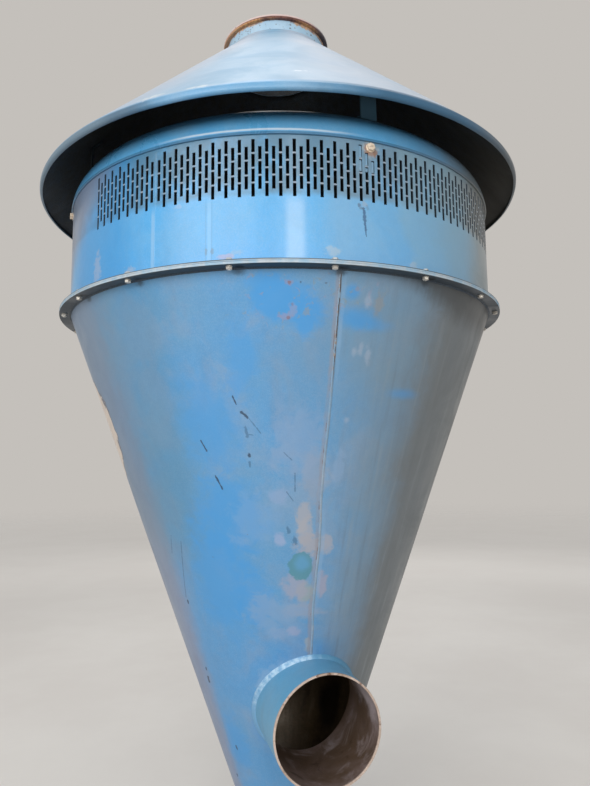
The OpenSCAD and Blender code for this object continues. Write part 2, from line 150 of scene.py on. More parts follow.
DRUM_FLECKS = (
    (16.25, 1.36, 0.003, 0.004, 0.7, 84, 104, 130), (17.5, 1.362, 0.005, 0.005, 0.6, 150, 168, 186),
    (16.9, 1.354, 0.005, 0.0025, 0.6, 92, 112, 132), (18.1, 1.356, 0.003, 0.004, 0.4, 96, 120, 144),
    (-15.1, 1.272, 0.0022, 0.006, 0.6, 96, 128, 150), (-13.8, 1.272, 0.0026, 0.007, 0.6, 92, 124, 148),
    (-11, 1.262, 0.014, 0.004, 0.5, 180, 156, 176), (-8.6, 1.268, 0.01, 0.004, 0.3, 150, 170, 180),
    (10.6, 1.27, 0.012, 0.008, 0.5, 176, 192, 200), (-34, 1.262, 0.012, 0.008, 0.4, 190, 186, 180),
    (-46, 1.285, 0.012, 0.03, 0.4, 176, 178, 190), (29, 1.262, 0.01, 0.006, 0.4, 190, 196, 196),
    (-21.5, 1.362, 0.008, 0.004, 0.4, 150, 176, 206),
)

BOLT_RUST = (
    (18.2, 1.468, 0.006, 0.008, 0.75, 146, 108, 82), (18.9, 1.459, 0.008, 0.005, 0.75, 146, 108, 82),
    (20.2, 1.463, 0.004, 0.005, 0.75, 146, 108, 82),
)

HOOD_KNOCKS = (
    (14.3, 1.551, 0.007, 0.006, 0.8, 128, 80, 84), (16.2, 1.55, 0.006, 0.004, 0.7, 160, 110, 108),
    (-24, 1.545, 0.024, 0.01, 0.6, 206, 212, 214), (-14, 1.541, 0.02, 0.006, 0.6, 196, 204, 206),
    (4, 1.6, 0.02, 0.004, 0.5, 222, 228, 232),
)


# Materials

def rgb(r, g, b):
    return tuple((c / 255 / 12.92 if c <= 10.3 else ((c / 255 + 0.055) / 1.055) ** 2.4)
                 for c in (r, g, b)) + (1,)


class Value:
    """A node's output, to which a sum or a product adds a node."""

    def __init__(self, nodes, socket):
        self.nodes, self.socket = nodes, socket

    def __add__(self, other):
        return self.nodes.math("ADD", self, other)

    def __sub__(self, number):
        return self + -number

    def __mul__(self, other):
        return self.nodes.math("MULTIPLY", self, other)

    def __abs__(self):
        return self.nodes.math("ABSOLUTE", self)

    def span(self, low, high, to_low=0, to_high=1):
        """A smooth step, from to_low where the value is low to to_high where it is high."""
        n = self.nodes.node("MapRange", {"interpolation_type": "SMOOTHSTEP"})
        for i, v in enumerate((self, low, high, to_low, to_high)):
            self.nodes.put(n.inputs[i], v)
        return Value(self.nodes, n.outputs[0])

    def near(self, centre, outer, inner):
        """1 where the value is within inner of the centre, 0 beyond outer."""
        return abs(self - centre).span(outer, inner)


class Nodes:
    """A material under construction: each call adds a node and returns its output."""

    def __init__(self, name):
        self.mat = bpy.data.materials.new(name)
        self.mat.use_nodes = True
        self.tree = self.mat.node_tree
        self.tree.nodes.clear()
        self.bsdf = self.tree.nodes.new("ShaderNodeBsdfPrincipled")
        out = self.tree.nodes.new("ShaderNodeOutputMaterial")
        self.tree.links.new(self.bsdf.outputs[0], out.inputs[0])
        self.edges = {}
        self.pos = self.node("TexCoord").outputs["Object"]
        self.place = self.scaled(self.pos, 1)
        split = self.node("SeparateXYZ", Vector=self.place)
        self.x, self.y, self.z = (Value(self, out) for out in split.outputs)
        self.deg = self.math("ARCTAN2", self.x, self.y * -1) * (180 / pi)

    def put(self, socket, value):
        if isinstance(value, Value):
            value = value.socket
        if isinstance(value, bpy.types.NodeSocket):
            self.tree.links.new(value, socket)
        else:
            socket.default_value = value

    def node(self, kind, attrs=None, **inputs):
        n = self.tree.nodes.new("ShaderNode" + kind)
        for k, v in (attrs or {}).items():
            setattr(n, k, v)
        for k, v in inputs.items():
            self.put(n.inputs[k.replace("_", " ")], v)
        return n

    def math(self, op, a, b=0, clamp=False):
        n = self.node("Math", {"operation": op, "use_clamp": clamp})
        self.put(n.inputs[0], a)
        self.put(n.inputs[1], b)
        return Value(self, n.outputs[0])

    def scaled(self, vector, by):
        return self.node("VectorMath", {"operation": "SCALE"}, Vector=vector, Scale=by).outputs[0]

    def vector(self, op, a, b):
        n = self.node("VectorMath", {"operation": op})
        self.put(n.inputs[0], a)
        self.put(n.inputs[1], b)
        return Value(self, n.outputs["Value" if op in ("LENGTH", "DISTANCE", "DOT_PRODUCT") else "Vector"])

    def noise(self, scale, detail=4, rough=0.55, bend=0, stretch=None, shift=0, where=None):
        where = where or self.pos
        if stretch or shift:
            where = self.node("Mapping", Vector=where, Location=(shift, shift * 0.7, -shift),
                              Scale=stretch or (1, 1, 1)).outputs[0]
        n = self.node("TexNoise", Vector=where, Scale=scale, Detail=detail,
                      Roughness=rough, Distortion=bend)
        return Value(self, n.outputs[0])

    def mix(self, share, a, b):
        n = self.node("Mix", {"data_type": "RGBA"})
        self.put(n.inputs[0], share)
        for i, tone in ((6, a), (7, b)):
            self.put(n.inputs[i], rgb(*tone) if isinstance(tone, (tuple, list)) else tone)
        return n.outputs[2]

    def lay(self, share, tone):
        """Lays a tone over the colour as it is so far."""
        self.colour = self.mix(share, self.colour, tone)

    def over(self, share, most, *tone):
        """Lays a tone over the colour where share is 1, with most as its strength there."""
        self.lay(share * most, tone)

    def on_right(self):
        """1 in front and on the right, fading out before the back."""
        return self.deg.span(165, 120)

    def on_left(self):
        """1 in front and on the left, fading out before the back."""
        return self.deg.span(-165, -120)

    def bump(self, height, depth):
        return self.node("Bump", Height=height, Distance=depth, Strength=1).outputs[0]

    def torn(self, scale):
        """Noise about 0 that makes an outline ragged, made once for each scale."""
        if scale not in self.edges:
            self.edges[scale] = self.noise(scale, 5, 0.62, 0.4) - 0.5
        return self.edges[scale]

    def curve(self, x, points):
        """A smooth curve through points whose x and y both lie between 0 and 1."""
        n = self.node("FloatCurve", Value=x)
        line = n.mapping.curves[0]
        line.points[0].location, line.points[-1].location = points[0], points[-1]
        for p in points[1:-1]:
            line.points.new(*p)
        n.mapping.update()
        return Value(self, n.outputs[0])

    def patch(self, az, r, z, wide, high, ragged=0.35, soft=0.5, scale=30):
        """1 inside a ragged oval on the body's surface, 0 outside it."""
        centre = polar(az, r, z)
        near = self.vector("MULTIPLY", self.vector("SUBTRACT", self.place, tuple(centre)),
                           (1 / wide, 1 / wide, 1 / high))
        edge = self.torn(scale) * (ragged * 4)
        return (self.vector("LENGTH", near, (0, 0, 0)) + edge).span(1 + soft / 2, 1 - soft / 2)

    def scratch(self, a, b, width, ragged=0.6, scale=160):
        """1 on a ragged line between two points given as azimuth, radius and height."""
        a, b = polar(*a), polar(*b)
        along = b - a
        off = self.vector("SUBTRACT", self.place, tuple(a))
        t = self.vector("DOT_PRODUCT", off, tuple(along))
        t = self.math("MULTIPLY", t, 1 / along.length_squared, True)
        far = self.vector("DISTANCE", off, self.scaled(along, t))
        edge = self.torn(scale) * (ragged * width * 4)
        return (far + edge).span(width, width * 0.4)

    def finish(self, rough, normal=None, metallic=0):
        self.put(self.bsdf.inputs["Base Color"], self.colour)
        self.put(self.bsdf.inputs["Roughness"], rough)
        self.put(self.bsdf.inputs["Metallic"], metallic)
        if normal:
            self.put(self.bsdf.inputs["Normal"], normal)
        return self.mat


RUST, DARK_RUST = (122, 78, 52), (66, 44, 34)


def paint(name, main, faded, chalk, wear=0.5, gloss=0.34, extra=None, coat=0):
    """Worn gloss paint on sheet steel: faded areas, chalky film, streaks, specks of rust."""
    n = Nodes(name)
    slow = n.noise(2.4, 5, 0.55, 0.5)
    mid = n.noise(8, 6, 0.62, 0.8, shift=3.1)
    fine = n.noise(60, 5, 0.65, 0.2)
    grain = n.noise(420, 2, 0.5)
    run = n.noise(16, 4, 0.6, 0.2, stretch=(1, 1, 0.09))
    n.colour = n.mix(slow.span(0.36, 0.64), main, faded)
    film = (mid + run * 0.35).span(0.58, 0.86) * (0.55 * wear + 0.15)
    n.lay(film, chalk)
    n.over(run.span(0.5, 0.78), 0.16 * wear, 62, 84, 104)
    n.lay(fine.span(0.3, 0.7, 0, 0.1), (58, 110, 160))
    n.lay(grain.span(0.35, 0.75, 0, 0.05), (230, 236, 240))
    n.rough = mid.span(0.3, 0.8, gloss, gloss + 0.16) + film * 0.2
    specks = n.noise(95, 4, 0.7, shift=7.7).span(0.7, 0.76) * n.noise(7, 3, 0.5, shift=1.3).span(0.52, 0.66)
    n.height = grain * 0.1 + fine * 0.35
    if extra:
        extra(n)
    n.lay(specks * wear, n.mix(fine, RUST, DARK_RUST))
    n.rough += specks * 0.3
    n.height += specks * -0.5
    n.bsdf.inputs["Coat Weight"].default_value = coat
    n.bsdf.inputs["Coat Roughness"].default_value = 0.2
    return n.finish(n.rough, n.bump(n.height, 0.0005))


def dabs(n, rows, r_of, ragged=0.8, soft=0.8, scale=90):
    """Small ragged marks: azimuth, height, half width, half height, share and tone of each."""
    for az, z, wide, high, share, *tone in rows:
        n.over(n.patch(az, r_of(z), z, wide, high, ragged, soft, scale), share, *tone)


def marks_on(n, marks, r_of):
    """The darkest of several scratches, each given as azimuth and height of both ends, and a half width."""
    share = 0
    for az, z, to_az, to_z, width in marks:
        share = n.math("MAXIMUM", share, n.scratch((az, r_of(z), z), (to_az, r_of(to_z), to_z), width))
    return share


def from_seam(n):
    """Distance in metres to the right of the seam, which wanders a little."""
    az = n.curve(n.z, [(0, 0.5)] + [(z, (a - 10) / 5) for z, a in SEAM] + [(1.3, 0.44)]) * 5 + 10
    return (n.deg + az * -1) * ((n.z + APEX) * ARC_PER_DEG)


def cone_extra(n):
    """What the cone's paint carries at known places: clean blue areas, scuffs, scratches, seam, painted
    shade.
    """
    flow = n.scaled(n.place, n.math("DIVIDE", 1, n.z + APEX))
    streak = n.noise(70, 4, 0.6, where=flow, stretch=(1, 1, 0.45), shift=2.1)
    ragged = n.noise(26, 6, 0.65, 0.6, shift=5.5)
    wide = n.noise(5, 5, 0.6, 0.4, shift=8.5)
    side = n.deg + (ragged * 10 + wide * 14)
    front = n.on_right()
    # Painted shade and a painted reflection of warm surroundings, with some dust: greyer and darker to the
    # right.
    for start, end, share, *tone in ((24, 42, 0.6, 124, 140, 150), (40, 58, 0.78, 112, 112, 108)):
        n.over(side.span(start, end) * front, share, *tone)
    right = side.span(18, 40) * front
    n.over(right * streak.span(0.5, 0.78), 0.3, 152, 162, 166)
    n.over(right * streak.span(0.5, 0.24), 0.3, 94, 104, 112)
    # Darker under the flange on the right: dirt, and painted shade cast by the flange.
    low = n.math("MINIMUM", side, 60) * 0.0022
    dirt_and_flange_shade = (n.z + low + streak * 0.05).span(1.318, 1.368) * right
    n.lay(dirt_and_flange_shade * n.deg.span(75, 110, 0.85, 0.45), (68, 72, 74))
    # Painted reflection of the floor and painted shade: greyer and mauve towards the left edge.
    left = (n.deg + ragged * -12).span(-46, -62) * n.deg.span(-150, -110)
    n.over(left, 0.68, 144, 145, 163)
    # Painted shade: a darker blue on the front left, over the upper part of the cone.
    painted_left_shade = n.deg.span(-20, -34) * n.deg.span(-120, -80) * n.z.span(0.62, 0.82)
    n.over(painted_left_shade, 0.3, 56, 116, 142)
    haze = n.patch(13, 0.45, 1.11, 0.1, 0.13, 0.4, 1.4, 12)
    n.over(haze, 0.28, 122, 140, 148)
    for *oval, share in CLEAN_BLUE:
        n.over(n.patch(*oval), share, 68, 152, 216)
    for az, z, w, h, share, *tone in SCUFFS:
        scuff = n.patch(az, cone_r(z), z, w, h, 0.75, 0.7, 34) * share
        n.lay(scuff, tone)
        n.rough += scuff * 0.15
    teal = n.patch(6.4, 0.3073, 0.707, 0.0235, 0.032, 0.22, 0.16, 60)
    n.lay(teal * 0.9, n.mix(n.patch(6.6, 0.309, 0.715, 0.013, 0.017, 0.3, 1.2),
                            (82, 142, 160), (90, 154, 192)))
    across = from_seam(n)
    jitter = (ragged - 0.5) * 0.01
    burn = (abs(across + 0.004 + jitter).span(0.0075, 0.0025)
            * n.noise(14, 5, 0.7, stretch=(1, 1, 0.4)).span(0.34, 0.56))
    n.lay(burn * 0.6, n.mix(n.noise(50, 4), (142, 138, 140), (146, 152, 168)))
    glow = (abs(across - 0.006 + jitter).span(0.006, 0.002)
            * n.noise(11, 4, 0.6, stretch=(1, 1, 0.3), shift=6).span(0.42, 0.6))
    n.over(glow, 0.45, 136, 172, 206)
    brown = (abs(across + 0.0034 + jitter * 0.3).span(0.0018, 0.0006)
             * n.noise(34, 5, 0.75, stretch=(1, 1, 0.5), shift=3.3).span(0.5, 0.6))
    n.lay(brown * 0.75, n.mix(n.noise(120, 3), (92, 76, 70), (142, 122, 112)))
    mottle = n.noise(52, 5, 0.68, 0.7, shift=4.7)
    field = n.deg.near(5, 24, 8) * (n.z + wide * 0.08).span(1.165, 1.225)
    hue = n.mix(n.noise(21, 3, 0.5, shift=1.9).span(0.44, 0.56), (146, 146, 130), (158, 142, 162))
    n.lay(field * mottle.span(0.56, 0.66) * 0.5, hue)
    dabs(n, CONE_FLECKS, cone_r)
    dabs(n, CONE_STREAKS, cone_r, soft=1.6, scale=60)
    # Painted shadows of the flange's nuts, on the cone just below them and to their right.
    for az in (-50.4, -31.2, -8.3, 12.1, 32.7):
        n.over(n.patch(az, cone_r(1.235), 1.236, 0.0085, 0.0065, 0.4, 1.6, 90), 0.7, 34, 46, 54)
    dark = marks_on(n, DARK_SCRATCHES, cone_r)
    n.over(dark, 0.85, 40, 60, 82)
    faint = marks_on(n, FAINT_SCRATCHES, cone_r)
    n.over(faint, 0.6, 58, 100, 134)
    n.height += dark * -0.8
    hump = n.math("POWER", abs((n.z - 0.987) * 8), 2)
    edge = n.deg + n.torn(34) * 10 + (hump * 12.5 + 63.5)
    behind = (n.deg + n.torn(34) * 14).span(-86, -84)
    peel = edge.span(0.6, -0.6) * behind
    n.lay(peel * 0.95, n.mix(n.noise(40, 4), (248, 232, 216), (206, 194, 184)))
    bark = edge.span(1.6, 0.5) * edge.span(-0.4, 0.3) * behind
    n.over(bark, 0.7, 96, 84, 80)
    n.height += peel * -0.5
    n.rough += peel * 0.2


def drum_extra(n):
    """The drum's band: pale joint line, faint double line, a gouge, painted shade and reflection."""
    # Painted shade and reflection: the slotted strip is greyer and darker, under the hood.
    slotted = n.z.span(1.366, 1.378) * (n.noise(24, 5, 0.6, shift=9) + n.z * 1.5).span(2.3, 2.75)
    n.lay(slotted * 0.84, n.mix(n.noise(60, 4), (66, 104, 126), (86, 120, 140)))
    # Painted shade: a deeper blue on the front left.
    deep = n.deg.span(-28, -40) * n.deg.span(-62, -54)
    n.over(deep, 0.5, 40, 138, 204)
    n.over(n.deg.span(6, 14) * n.on_right(), 0.16, 186, 196, 202)
    # Lines down the lower band: a pale joint line, a faint double line, and at azimuth 3 a painted reflection
    # of a lamp.
    band = n.z.span(1.375, 1.35)
    for az, half, share, *tone in ((-27.6, 0.6, 0.45, 156, 196, 228), (-15.2, 0.14, 0.5, 82, 146, 196),
                                   (3, 2.6, 0.22, 206, 228, 244), (-13.9, 0.14, 0.5, 82, 146, 196),
                                   (-14.5, 0.5, 0.3, 150, 200, 236)):
        n.over(n.deg.near(az, half, half * 0.4) * band, share, *tone)
    gouge = marks_on(n, GOUGE, drum_r)
    n.over(gouge, 0.8, 54, 88, 124)
    dabs(n, DRUM_FLECKS, drum_r, soft=0.9)
    rim = n.patch(19.3, DRUM_R, 1.467, 0.016, 0.013, 0.7, 0.9, 60)
    n.over(rim, 0.6, 176, 186, 192)
    dabs(n, BOLT_RUST, drum_r)
    foot = (n.z + n.noise(30, 5, 0.7, shift=2.2) * 0.004).span(1.2545, 1.2515)
    n.over(foot, 0.7, 62, 92, 116)
    wide = n.noise(7, 5, 0.6, 0.4, shift=8.5)
    right = n.deg + wide * 16
    front = n.on_right()
    # Painted reflection of warm surroundings and painted shade, with some dust: grey-brown towards the right,
    # most on the slotted strip.
    for start, end, share, *tone in ((33.5, 36.5, 0.32, 138, 172, 186), (40, 52, 0.4, 132, 164, 176),
                                     (52, 66, 0.7, 130, 134, 128)):
        n.over(right.span(start, end) * front, share, *tone)
    n.over(right.span(44, 60) * front * slotted, 0.6, 108, 104, 98)
    # Painted reflection: a grey, mauve film high on the left.
    left = n.deg * -1 + (wide * 10 + (n.z - 1.33) * 130)
    left = left.span(60, 74) * n.on_left()
    n.over(left, 0.75, 126, 132, 150)


def hood_extra(n):
    """The hood: its cone pale with dust and painted glare, its lip blue with knocks and painted shade."""
    z = n.z + n.x * -sin(radians(HOOD_LEAN))
    wide = n.deg.span(-42, -28) * n.deg.span(-5, -13)
    top = (z + wide * 0.009).span(1.537, 1.55)
    # Paler on the upward-facing cone: dust, and a painted glare of the light from above, lighter on the right
    # half.
    dust = top * n.noise(12, 5, 0.6, shift=4.4).span(0.25, 0.7, 0.72, 0.92)
    cloud = n.noise(3, 3, 0.5, 0.3) * 26 + abs(n.deg + 6)
    pale = n.mix(n.x.span(-0.14, 0.14), (172, 181, 193), (188, 198, 210))
    n.lay(dust, n.mix(cloud.span(16, 38), (130, 165, 190), pale))
    low = z.span(1.549, 1.538)
    shade = n.deg + n.torn(12) * 14
    # Painted shade: the lip darkens and greys towards the right.
    front = n.on_right() * low
    n.over(front * shade.span(-2, 20), 0.85, 36, 78, 106)
    n.over(front * shade.span(34, 58), 0.8, 88, 94, 96)
    # Painted shade on the lowest, rolled-under part of the lip on the left.
    under = z.span(1.536, 1.53) * (shade.span(-14, -30) * n.on_left())
    n.over(under, 0.8, 36, 62, 84)
    # Paler on the lip's left: rubbed paint, and a painted highlight.
    rub_and_highlight = low * shade.span(-20, -40) * n.on_left()
    n.over(rub_and_highlight, 0.45, 138, 158, 170)
    dabs(n, HOOD_KNOCKS, hood_r, ragged=0.9)
    n.rough += top * 0.04


def shoulder_extra(n):
    """Painted glint, shade at the joint and top, and lift high up; painted reflection and dust on the right.
    """
    wave = n.torn(14) * 0.004
    glint = (n.z + wave).near(1.4892, 0.003, 0.0008) * (n.deg.span(-30, -16) * n.deg.span(20, 6))
    n.over(glint, 0.85, 206, 224, 238)
    # Painted shadow: a dark line under the ledge's overhang, where the shoulder meets the drum.
    joint = n.z.span(1.4862, 1.4846)
    n.over(joint, 0.6, 46, 84, 116)
    # Painted shade: darker at the top, under the hood.
    top = n.z.span(1.54, 1.556) * abs(n.deg + 10).span(14, 24, 0.5, 0.15)
    n.lay(top, (48, 100, 136))
    # Painted light: paler high on the front right, where the hood shades the shoulder.
    lift = n.z.span(1.525, 1.548) * (n.deg.span(2, 13) * n.deg.span(52, 36))
    n.over(lift, 0.75, 150, 206, 240)
    # Greyer to the right: dust, and a painted reflection of warm surroundings.
    right = n.deg + n.torn(7) * 16
    film = right.span(20, 54) * n.on_right()
    n.over(film, 0.88, 110, 112, 108)
    n.rough += film * 0.2


def leg_extra(n):
    # Painted light: paler low down, where more light reaches under the hood.
    n.lay(n.z.span(1.6, 1.565), (84, 124, 148))


def inside_hood_extra(n):
    """The hood's underside: near black as painted shade, and lighter where it is low on the right."""
    lighter_low_right = (n.deg + n.torn(9) * 24).span(40, 76) * n.z.span(1.7, 1.56)
    lighter_low_right = lighter_low_right * n.on_right()
    n.lay(lighter_low_right * 0.85, (76, 72, 64))


paint_cone = paint("paint_cone", (88, 154, 206), (106, 156, 192), (138, 160, 186), 0.6, 0.38,
                   cone_extra, coat=0.15)
paint_drum = paint("paint_drum", (66, 166, 230), (80, 168, 222), (124, 178, 214), 0.3, 0.3,
                   drum_extra, coat=0.32)
paint_web = paint("paint_web", (112, 144, 168), (128, 148, 164), (158, 162, 170), 0.6, 0.4)
paint_shoulder = paint("paint_shoulder", (80, 168, 226), (88, 168, 218), (128, 180, 216), 0.35, 0.26,
                       shoulder_extra, coat=0.6)
paint_hood = paint("paint_hood", (92, 158, 206), (104, 162, 202), (146, 178, 204), 0.35, 0.34,
                   hood_extra, coat=0.1)
paint_pipe = paint("paint_pipe", (96, 166, 202), (104, 162, 194), (138, 172, 196), 0.5, 0.38)
paint_dark = paint("paint_leg", (50, 88, 104), (58, 92, 110), (84, 112, 130), 0.5, 0.4, leg_extra)
paint_sooty = paint("paint_sooty", (26, 38, 44), (32, 42, 46), (48, 56, 58), 0.4, 0.5)
paint_cleat = paint("paint_cleat", (120, 176, 212), (132, 176, 206), (160, 182, 200), 0.5, 0.4)


def flange_extra(n):
    """Rims rubbed pale by handling and a painted highlight; a darker top corner; painted shade underneath."""
    r = n.math("SQRT", n.x * n.x + n.y * n.y)
    # Pale rims: wear, and a painted highlight on the lit edges.
    rim = r.span(0.5205, 0.5226) * n.z.span(1.21, 1.22)
    pale_edge = n.noise(34, 5, 0.7, shift=8.2).span(0.36, 0.62)
    pale = n.mix(pale_edge, (150, 184, 206), n.mix(n.noise(70, 4), (206, 218, 226), (164, 170, 172)))
    n.lay(rim * 0.9, pale)
    top = rim * n.z.span(1.2466, 1.2476)
    n.lay(top * 0.85, n.mix(n.noise(40, 4), (44, 66, 84), (70, 74, 78)))
    # Painted shade on the underside, with some dirt.
    under = n.z.span(1.2412, 1.2402) * n.z.span(1.21, 1.22)
    n.lay(under * 0.92, n.mix(n.noise(12, 5), (24, 42, 58), (46, 46, 44)))
    # Painted shadows of the nuts on the underside.
    for az in (-50, -30.9, -8, 12.4, 33):
        shade = n.patch(az, 0.508, 1.2402, 0.008, 0.004, 0.4, 0.8, 90)
        n.over(shade, 0.85, 10, 16, 22)
    n.rough += rim * 0.1


def seam_extra(n):
    """The seam's bead: a broken brown line and tan flecks high up, chalk lower down."""
    high = n.z.span(1.03, 1.11)
    fleck = n.noise(90, 4, 0.7, stretch=(1, 1, 0.5)).span(0.5, 0.6) * ((high + 0.3) * 0.7)
    n.lay(fleck, n.mix(n.noise(150, 3), (120, 104, 96), (172, 164, 156)))
    line = (abs(from_seam(n) + n.torn(60) * 0.002).span(0.0014, 0.0005)
            * n.noise(64, 3, 0.6, stretch=(1, 1, 0.45), shift=7).span(0.42, 0.5))
    n.lay(line * ((high + 0.12) * 0.85), (62, 50, 46))
    n.rough += fleck * 0.2


def weld_extra(n):
    """The weld round the side pipe: blue paint, with a painted highlight on its ripples at the upper left."""
    # Painted highlight on the weld's ripples at the upper left.
    weld_highlight = n.patch(0, 0.262, 0.46, 0.085, 0.09, 0.4, 0.8, 60)
    knobs = n.noise(85, 3, 0.6, shift=3).span(0.3, 0.66)
    near = n.z.span(0.2, 0.3)
    base = n.mix(n.deg.span(8, 20), (116, 168, 208), (86, 146, 182))
    n.lay(near, n.mix(weld_highlight * knobs, base, (186, 216, 236)))
    n.rough += 0.08
    n.height += knobs * 0.3


paint_ring = paint("paint_ring", (98, 150, 190), (112, 156, 190), (150, 178, 200), 0.8, 0.34, flange_extra)
paint_weld = paint("paint_weld", (140, 180, 208), (150, 180, 200), (190, 200, 206), 0.7, 0.4,
                   weld_extra, coat=0.1)
paint_seam = paint("paint_seam", (120, 158, 188), (130, 158, 180), (164, 176, 188), 0.8, 0.42, seam_extra)
# Dark paint on undersides, slot walls and the lower bead: painted shade, with some dirt.
paint_under = paint("paint_under", (28, 48, 66), (40, 52, 60), (60, 70, 76), 1, 0.5)
# Near black: painted shade under the hood.
hood_inside = paint("hood_inside", (24, 28, 26), (30, 32, 28), (42, 44, 38), 0.4, 0.55, inside_hood_extra)
# Near black inside the collar: soot, and painted shade.
soot_and_shade = paint("soot_and_shade", (12, 13, 12), (16, 16, 14), (24, 24, 22), 0.2, 0.7)


def steel(name, light, dark, rust_share, rough_low, rough_high, metallic=0.85, scale=60):
    """Bare or plated steel, dulled and with rust where the share lets it."""
    n = Nodes(name)
    cloud = n.noise(scale, 5, 0.62, 0.5)
    fine = n.noise(scale * 6, 4, 0.6)
    rust = n.noise(scale * 0.6, 6, 0.68, 0.8, shift=2.7)
    rust = rust.span(0.62 - 0.3 * rust_share, 0.72 - 0.2 * rust_share) * min(1, 0.5 + rust_share)
    n.colour = n.mix(cloud.span(0.3, 0.7), light, dark)
    n.lay(rust, n.mix(fine, RUST, DARK_RUST))
    rough = fine.span(0.3, 0.7, rough_low, rough_high) + rust * 0.25
    metal = n.math("SUBTRACT", metallic, rust * metallic, True)
    return n.finish(rough, n.bump(fine * 0.5 + rust * 0.6, 0.0004), metal)


zinc = steel("zinc_bolts", (228, 226, 220), (190, 184, 174), 0.15, 0.3, 0.48, 0.45, 90)
dull_bolt = steel("dull_bolt", (176, 190, 198), (196, 190, 178), 0.2, 0.45, 0.65, 0.1, 90)
old_bolt = steel("old_bolt", (238, 222, 202), (214, 196, 172), 0.2, 0.4, 0.6, 0.2, 120)
cut_edge = steel("cut_edge", (214, 196, 184), (180, 158, 142), 0.3, 0.35, 0.55, 0.2, 50)


def inside_steel(name, a, b, glaze, shade):
    """The unpainted inside of pipe and cone, polished in runs by dust."""
    n = Nodes(name)
    cloud = n.noise(9, 6, 0.62, 1)
    run = n.noise(22, 5, 0.6, 0.6, stretch=(1, 1, 0.3), shift=3)
    fine = n.noise(150, 4, 0.6)
    n.colour = n.mix(cloud.span(0.35, 0.65), a, b)
    n.lay(run.span(0.52, 0.72) * 0.6, glaze)
    n.lay(run.span(0.45, 0.28) * 0.7, shade)
    n.lay(fine.span(0.4, 0.75, 0, 0.3), (112, 86, 66))
    # Painted light on the pipe's inner wall near its mouth, and painted shadow deep inside the cone.
    pale = n.patch(30, 0.315, 0.47, 0.062, 0.05, 0.6, 1, 24)
    n.over(pale, 0.75, 206, 196, 202)
    shadow = n.patch(134, 0.158, 0.3, 0.036, 0.075, 0.25, 0.9)
    n.over(shadow, 0.8, 10, 8, 6)
    return n.finish(cloud.span(0.3, 0.7, 0.36, 0.6), n.bump(fine, 0.0003), 0.25)


def rusty_hoop():
    n = Nodes("rusty_hoop")
    cloud = n.noise(34, 6, 0.66, 0.9)
    fine = n.noise(210, 4, 0.6)
    n.colour = n.mix(cloud.span(0.35, 0.62), (88, 52, 46), (118, 76, 66))
    n.lay(fine.span(0.45, 0.7, 0, 0.6), (62, 40, 36))
    side = abs(n.deg - 4) + n.torn(15) * 60
    tan = n.z.span(1.9868, 1.985) * (side.span(8, 26) * n.deg.span(70, 40))
    n.lay(tan * 0.85, n.mix(fine.span(0.4, 0.6), (214, 166, 112), (180, 124, 82)))
    left = (n.deg + n.torn(30) * 30).span(-38, -66) * n.on_left()
    n.over(left, 0.6, 186, 150, 124)
    right = n.deg.span(34, 62) * n.deg.span(165, 110)
    n.over(right, 0.85, 58, 58, 68)
    rim = n.z + n.x * -sin(radians(HOOD_LEAN))
    # Painted highlight: a pale top edge on the hoop, greyer on the right.
    pale_edge = rim.span(1.988, 1.99) * n.noise(50, 5, 0.7, shift=1.9).span(0.2, 0.4)
    n.lay(pale_edge * 0.9, n.mix(right, (222, 200, 194), (120, 116, 122)))
    return n.finish(fine.span(0.3, 0.7, 0.55, 0.8), n.bump(cloud + fine, 0.0006), 0.1)


def collar_paint():
    """Pale blue paint on the collar, broken by rust patches under the hoop."""
    def extra(n):
        around = abs(n.deg + 2).span(8, 26) * 0.4
        creep = n.z.span(1.96, 1.988) + (n.noise(52, 6, 0.7, 0.8, shift=2.6) * 1.3 + around)
        rust = creep.span(1.66, 1.86)
        n.lay(rust * 0.85, n.mix(n.noise(90, 4).span(0.4, 0.6), (216, 168, 116), (132, 98, 84)))
        speck = n.noise(120, 3, 0.6, shift=4.1).span(0.62, 0.67) * 0.8
        n.lay(speck, (84, 74, 80))
        n.rough += rust * 0.3
        n.height += rust * 0.4
    return paint("paint_collar", (166, 204, 230), (174, 204, 224), (198, 214, 226), 0.6, 0.36, extra)


inner = inside_steel("inside_pipe", (102, 84, 70), (132, 115, 110), (184, 172, 174), (56, 42, 32))
# The inside of the cone is darkened as painted shade.
inner_cone = inside_steel("inside_cone", (72, 60, 40), (86, 72, 52), (106, 94, 76), (38, 30, 20))
hoop_rust, paint_collar = rusty_hoop(), collar_paint()


# Meshes

def add_object(name, data):
    obj = bpy.data.objects.new(name, data)
    scene.collection.objects.link(obj)
    return obj


def piece(name, verts, faces, mats, index=None, replaces=(), slot="blue_paint", lean=False, smooth=35):
    mesh = bpy.data.meshes.new(name)
    mesh.from_pydata([tuple(v) for v in verts], [], faces)
    for m in mats:
        mesh.materials.append(m)
    if index:
        mesh.polygons.foreach_set("material_index", index)
    bm = bmesh.new()
    bm.from_mesh(mesh)
    bmesh.ops.recalc_face_normals(bm, faces=bm.faces)
    bm.to_mesh(mesh)
    bm.free()
    if lean:
        mesh.transform(LEAN)
    mesh.polygons.foreach_set("use_smooth", [True] * len(mesh.polygons))
    mesh.set_sharp_from_angle(angle=radians(smooth))
    obj = add_object(name, mesh)
    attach(obj, "root")
    if replaces:
        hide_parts(*replaces)
    return obj


def arc(cx, cz, r, a0, a1, count):
    return [(cx + r * cos(radians(a0 + (a1 - a0) * i / count)),
             cz + r * sin(radians(a0 + (a1 - a0) * i / count))) for i in range(count + 1)]


def line(a, b, count):
    return [(a[0] + (b[0] - a[0]) * i / count, a[1] + (b[1] - a[1]) * i / count) for i in range(count + 1)]


def quarters(part):
    return tuple(part + side for side in ("_front", "_right", "_back", "_left"))


